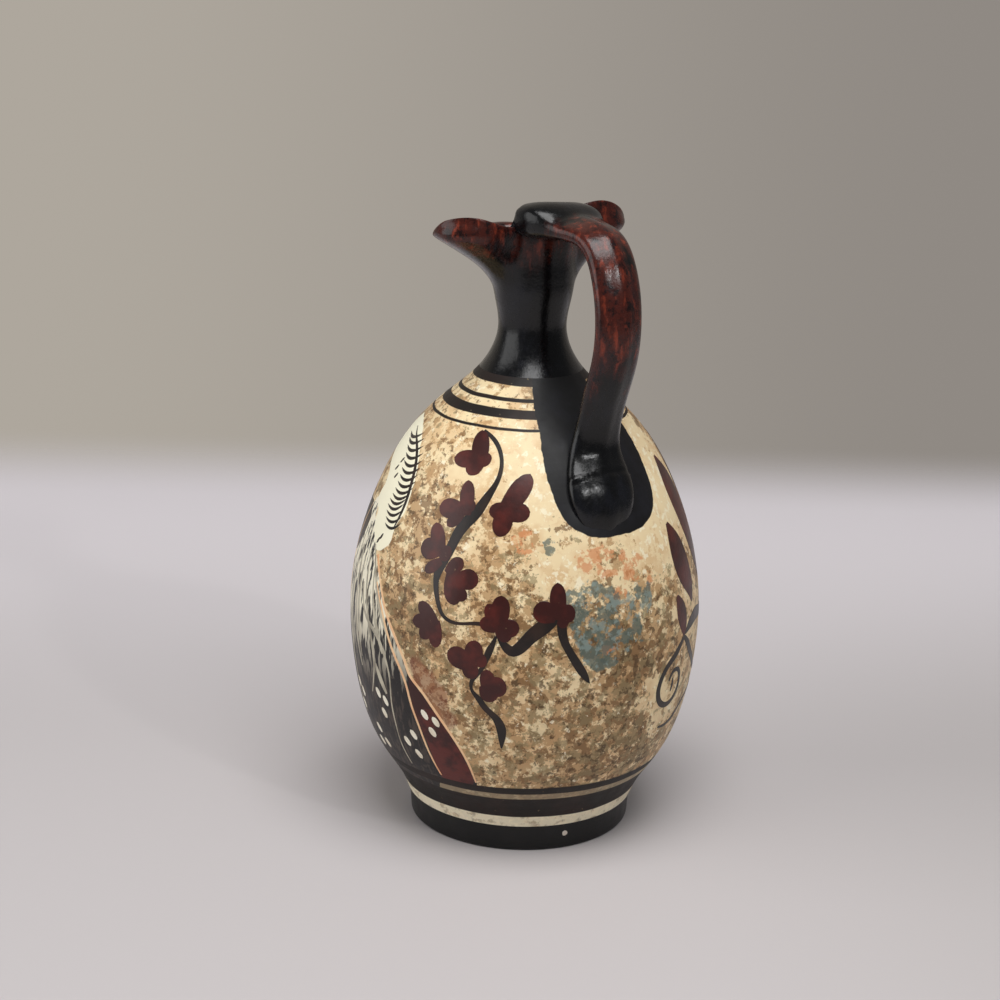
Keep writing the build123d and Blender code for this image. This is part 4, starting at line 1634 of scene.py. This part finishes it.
@dataclass
class LongTailedBird:
    """A standing bird with a combed wing and a long dotted train, facing the spout."""

    ornament: Ornament
    borders: tuple[Stroke, ...] = (
        Stroke(
            ((-60.5, 74.2), (-54.2, 66.7), (-50.8, 62.4), (-47.2, 58.8), (-43.5, 54.8), (-40.6, 51.0),
                (-39.2, 48.6), (-35.4, 45.7), (-31.0, 41.9), (-27.3, 38.2), (-22.4, 32.7), (-18.4, 25.8),
                (-17.2, 21.4)),
            (0.3, 0.34, 0.4, 0.42, 0.42, 0.42, 0.4, 0.4, 0.4, 0.38, 0.34, 0.3, 0.2),
        ),
        Stroke(((-57.5, 68.0), (-50.9, 59.6), (-47.3, 54.4), (-43.7, 50.0), (-41.0, 46.0), (-39.2, 40.6),
            (-37.1, 35.7), (-34.9, 29.7), (-31.6, 21.6)), (0.2, 0.34, 0.4, 0.4, 0.36, 0.33, 0.3, 0.28, 0.2)),
        Stroke(((-80.5, 83.0), (-85.7, 74.0), (-88.7, 62.0), (-90.2, 48.0), (-90.2, 36.0), (-88.7, 26.0),
            (-87.0, 21.2)), (0.15, 0.3, 0.4, 0.42, 0.4, 0.34, 0.2)),
    )
    folds: tuple[Stroke, ...] = (
        Stroke(((-66.8, 66.0), (-62.3, 58.4), (-55.3, 55.3), (-50.8, 51.1), (-48.6, 46.0), (-48.8, 38.5),
            (-48.4, 33.0), (-48.1, 28.6), (-46.0, 22.0)), (0.3, 0.5, 0.6, 0.45, 0.3, 0.24, 0.22, 0.2, 0.15)),
        Stroke(((-73.5, 74.0), (-72.1, 62.5), (-71.0, 54.0), (-68.5, 47.6), (-66.9, 44.1)),
            (0.3, 0.7, 0.8, 0.6, 0.2)),
        Stroke(((-66.0, 74.0), (-62.4, 61.4), (-57.9, 52.2), (-57.2, 46.9), (-60.5, 38.8)),
            (0.2, 0.5, 0.5, 0.35, 0.12)),
        Stroke(((-60.5, 71.0), (-58.0, 62.5), (-54.5, 55.9), (-51.8, 51.0)), (0.2, 0.45, 0.7, 0.2)),
        Stroke(((-69.5, 72.0), (-69.5, 63.0), (-68.0, 53.5), (-66.2, 46.8)), (0.2, 0.6, 0.7, 0.2)),
        Stroke(((-56.0, 47.5), (-53.8, 44.0), (-51.0, 40.6)), (0.3, 0.9, 0.4)),
        Stroke(((-76.0, 76.0), (-77.5, 60.0), (-76.5, 44.0), (-73.0, 30.0)), (0.2, 0.6, 0.5, 0.2)),
        Stroke(((-64.0, 76.0), (-58.5, 68.8), (-54.0, 62.0), (-49.5, 56.4)), (0.2, 0.4, 0.5, 0.2)),
    )
    clusters: tuple[Spot, ...] = (
        (-56.3, 39.6), (-52.2, 38.4), (-54.2, 34.6), (-40.0, 31.9), (-43.9, 29.2), (-39.6, 26.4), (-33.9, 38.7),
            (-29.7, 37.5), (-31.4, 34.4),
        (-62.0, 28.5), (-58.8, 25.0), (-64.0, 24.4), (-74.0, 38.0), (-70.5, 36.2), (-73.0, 32.4),
    )
    comb: tuple[Spot, ...] = (
        (-74.5, 101.2), (-70.5, 100.2), (-66.8, 98.9), (-63.6, 97.5), (-61.3, 96.0), (-60.0, 94.5),
            (-59.0, 93.0), (-58.4, 91.5), (-58.2, 90.0),
        (-58.6, 88.6), (-59.2, 87.3), (-59.4, 86.0), (-58.8, 84.6), (-57.8, 83.2), (-57.0, 81.8),
    )
    flecks: tuple[Spot, ...] = ((-70.0, 95.5), (-71.5, 93.5), (-68.5, 92.0), (-63.0, 77.2), (-61.5, 78.4))
    outline: tuple[Stroke, ...] = (
        Stroke(((-80.0, 102.6), (-73.3, 101.4), (-66.0, 99.9), (-61.0, 98.2), (-57.0, 95.6), (-54.6, 92.0),
            (-53.6, 88.5), (-54.2, 84.6), (-55.6, 81.4)), (0.1, 0.25, 0.4, 0.45, 0.5, 0.5, 0.45, 0.35, 0.15)),
    )
    figure: tuple[Stroke, ...] = (
        Stroke(((-79.0, 82.0), (-84.0, 79.0), (-92.0, 77.0), (-101.0, 79.5), (-109.0, 86.0), (-112.0, 90.0)),
            (2.5, 6.0, 8.6, 8.4, 5.0, 2.0)),
        Stroke(((-106.0, 84.0), (-112.5, 90.0), (-117.5, 95.0), (-120.5, 100.0), (-123.5, 102.8),
            (-127.0, 102.6)), (4.6, 3.2, 2.2, 1.9, 2.3, 1.4)),
        Stroke(((-126.0, 102.6), (-130.0, 101.9), (-134.0, 100.8)), (1.1, 0.7, 0.1)),
        Stroke(((-93.0, 72.0), (-96.5, 58.0), (-96.0, 42.0), (-94.0, 22.0)), (1.6, 0.9, 0.7, 0.6)),
        Stroke(((-101.0, 73.0), (-104.5, 58.0), (-104.0, 42.0), (-102.0, 22.0)), (1.6, 0.9, 0.7, 0.6)),
        Stroke(((-92.5, 22.2), (-96.0, 23.0), (-100.0, 21.6)), (0.3, 0.8, 0.2)),
        Stroke(((-100.5, 22.2), (-104.0, 23.0), (-108.0, 21.6)), (0.3, 0.8, 0.2)),
    )

    def build(self, dark: SlipFilm, light: SlipFilm, warm: SlipFilm, grey: SlipFilm) -> None:
        """Paints the bird over the body's wing and train fields.

        Args:
            dark: finish of the figure and the wing's combing.
            light: finish of the dots.
            warm: finish of the train's border lines.
            grey: finish of the train's fold lines.
        """
        paint_on = self.ornament
        paint_on.film("bird_figure", self.figure, dark)
        paint_on.film("wing_outline", self.outline, dark, 0.01)
        paint_on.film("train_borders", self.borders, warm, 0.01)
        paint_on.film("train_folds", self.folds, grey)
        combing = [Touch(place, 8.4 - 0.12 * k, 14.0) for k, place in enumerate(self.comb)]
        paint_on.dabs("wing_combing", Dab("comb_dab", 0.060, 0.20), combing, dark)
        paint_on.dabs("wing_flecks", Dab("fleck_dab", 0.2), [Touch(p, 2.0, 60.0) for p in self.flecks], dark)
        dots = [Touch(place, 3.0, -56.0) for place in self.clusters]
        eye = [Touch((-123.6, 103.2), 1.0, 0.0), Touch((-115.0, 92.6), 1.4, 40.0),
            Touch((-111.4, 89.0), 1.4, 40.0)]
        paint_on.dabs("dot_clusters", Dab("dot_dab", 0.30), [*dots, *eye], light, 0.02)


@dataclass
class Studio:
    """Pale floor in a pale room, soft lights and the camera at the photo's angle."""

    lens: float = 82.34
    pitch: float = 16.664
    roll: float = 1.4188
    spot: tuple[float, float, float] = (-6.841, -547.78, 246.53)
    floor: Colour = paint(203, 197, 197)
    # Floor colour to the right, darker: painted shade.
    floor_right_painted_shade: Colour = paint(192, 186, 184)
    # Floor colour towards the back, paler: painted light on the far floor.
    floor_far_painted_light: Colour = paint(238, 231, 234)
    wall: Colour = paint(174, 167, 157)
    # Wall colour to the right, darker: painted shade on the backdrop.
    wall_right_painted_shade: Colour = paint(143, 137, 131)
    lamps: tuple[tuple[str, tuple[float, float, float], float, float], ...] = (
        ("key", (80.0, -300.0, 900.0), 600.0, 7.1),
        ("glint", (520.0, -620.0, 560.0), 45.0, 0.9),
        ("fill", (-850.0, -300.0, 380.0), 800.0, 3.9),
    )
    aim_height: float = 80.0
    room_tint: Colour = (0.9, 0.92, 0.96, 1.0)
    room_strength: float = 0.14
    reach: float = 800.0
    back: float = 270.0
    fade: float = 95.0

    def turned(self, x: float, y: float, z: float) -> Vector:
        """A point given from the viewer's side, in the part's frame and metres."""
        return Matrix.Rotation(math.radians(VIEW_TURN), 4, "Z") @ Vector((x, y, z)) * MM

    def camera(self) -> None:
        """Makes the camera."""
        pitch, roll = math.radians(self.pitch), math.radians(self.roll)
        ahead = Vector((0, math.cos(pitch), -math.sin(pitch)))
        side, up = Vector((1, 0, 0)), Vector((0, math.sin(pitch), math.cos(pitch)))
        right = side * math.cos(roll) + up * math.sin(roll)
        high = up * math.cos(roll) - side * math.sin(roll)
        axes = Matrix((right, high, -ahead)).transposed().to_4x4()
        data = bpy.data.cameras.new("camera")
        data.lens, data.sensor_width = self.lens, 36.0
        data.clip_start, data.clip_end = 0.01, 20.0
        obj = linked("camera", data)
        turn = Matrix.Rotation(math.radians(VIEW_TURN), 4, "Z")
        obj.matrix_world = Matrix.Translation(self.turned(*self.spot)) @ turn @ axes
        bpy.context.scene.camera = obj

    def stage(self) -> None:
        """Makes the floor, painted darker to the right as painted shade and paler towards the back as painted
        light, which fades out softly all round.
        """
        side, far = self.reach, self.back + self.fade
        corners = ((-side, -side), (side, -side), (side, far), (-side, far))
        spots = [tuple(self.turned(x, y, 0.0) / MM) for x, y in corners]
        mesh = mesh_of("floor", np.array(spots), [(0, 1, 2, 3)])
        m = ClayShader("floor_paper")
        turn = math.radians(VIEW_TURN)
        across = m.x * math.cos(turn) + m.y * math.sin(turn)
        deep = m.y * math.cos(turn) - m.x * math.sin(turn)
        # Painted shade: the floor darkens to the right.
        colour = m.mix(across.rise(20.0, 220.0), self.floor, self.floor_right_painted_shade)
        # Painted light: the floor pales towards the back.
        colour = m.mix(deep.rise(30.0, self.back), colour, self.floor_far_painted_light)
        material = m.finish(colour, 0.55 + m.noise(0.2) * 0.1, m.noise(0.5), 0.02, 0.0)
        shown = (1 - deep.rise(self.back, far)) * m.near((0.0, 0.0, 0.0), side, side * 0.4)
        m.tree.links.new(shown.socket, m.shader.inputs["Alpha"])
        mesh.materials.append(material)
        obj = linked("floor", mesh)

    def lamp(self, name: str, place: tuple[float, float, float], size: float, power: float) -> None:
        """Makes one soft lamp aimed at the jug.

        Args:
            name: lamp name.
            place: where it stands, from the viewer's side.
            size: side of its square.
            power: watts.
        """
        data = bpy.data.lights.new(name, "AREA")
        data.size, data.energy = size * MM, power
        obj = linked(name, data)
        spot = self.turned(*place)
        aim = Vector((0, 0, self.aim_height * MM)) - spot
        obj.matrix_world = Matrix.Translation(spot) @ aim.to_track_quat("-Z", "Y").to_matrix().to_4x4()

    def light(self) -> None:
        """Makes the lamps and the even light of the room."""
        for name, place, size, power in self.lamps:
            self.lamp(name, place, size, power)
        self.room()

    def room(self) -> None:
        """Makes the room: dim even light, and a pale wall that the camera and reflections see, darker to the right
        as painted shade.
        """
        world = bpy.data.worlds.new("room")
        world.use_nodes = True
        n = NodeMaker(world.node_tree)
        n.tree.nodes.clear()
        dim = n.make("ShaderNodeBackground", None, {"Color": self.room_tint, "Strength": self.room_strength})
        ways = n.make("ShaderNodeTexCoord").outputs["Generated"]
        axes = [tuple(self.turned(*axis) / MM) for axis in ((1.0, 0.0, 0.0), (0.0, 1.0, 0.0))]
        dot = {"operation": "DOT_PRODUCT"}
        across, ahead = (n.value("ShaderNodeVectorMath", dot, {0: ways, 1: axis}, "Value") for axis in axes)
        # Painted shade: the backdrop darkens to the right.
        tint = n.mix(across.rise(-0.22, 0.22), self.wall, self.wall_right_painted_shade)
        pale = n.make("ShaderNodeBackground", None, {"Color": tint, "Strength": 1.0})
        ray = n.make("ShaderNodeLightPath")
        kinds = ("Camera", "Glossy", "Transmission")
        camera, glossy, through = (Val(n, ray.outputs[f"Is {kind} Ray"]) for kind in kinds)
        seen = (camera + (glossy + through) * ahead.rise(0.2, 0.6)).clip()
        both = n.make("ShaderNodeMixShader", None, {0: seen, 1: dim.outputs[0], 2: pale.outputs[0]})
        output = n.make("ShaderNodeOutputWorld")
        n.tree.links.new(both.outputs[0], output.inputs["Surface"])
        bpy.context.scene.world = world


def main() -> None:
    """Builds the jug, its painting and the studio."""
    logging.basicConfig(level=logging.INFO, format="%(name)s: %(message)s")
    bpy.context.scene.view_settings.view_transform = "Standard"
    wall = Wall()
    members = ThrownMembers(wall)
    body = members.build_body(BodyPaint())
    members.build_neck(GlossySlip("neck_glossy_slip", red_from=138.0, red_full=150.0))
    members.build_foot(BlackSlip("foot_black_slip", chip_spot=(27.75, -4.99, 4.2)))
    mouth = TrefoilMouth()
    mouth.build(GlossySlip("mouth_glossy_slip", red_from=138.0, red_full=150.0))
    StrapHandle(wall, mouth).build(GlossySlip("handle_glossy_slip", saddle_end=16.0, redness=0.03))
    ornament = Ornament(wall, body)
    red = SlipFilm("red_slip", paint(56, 19, 15), paint(84, 30, 23))
    black = SlipFilm("black_slip", paint(28, 21, 18), paint(48, 33, 26))
    Ivy(ornament).build(red, black)
    Palmette(ornament).build(red, black)
    LongTailedBird(ornament).build(
        black,
        SlipFilm("white_slip", paint(244, 238, 218), paint(226, 214, 190), 0.1),
        SlipFilm("warm_white_slip", paint(244, 206, 160), paint(236, 178, 132), 0.1),
        SlipFilm("grey_white_slip", paint(196, 188, 166), paint(150, 142, 124), 0.1),
    )
    studio = Studio()
    studio.camera()
    studio.stage()
    studio.light()


if __name__ == "__main__":
    main()
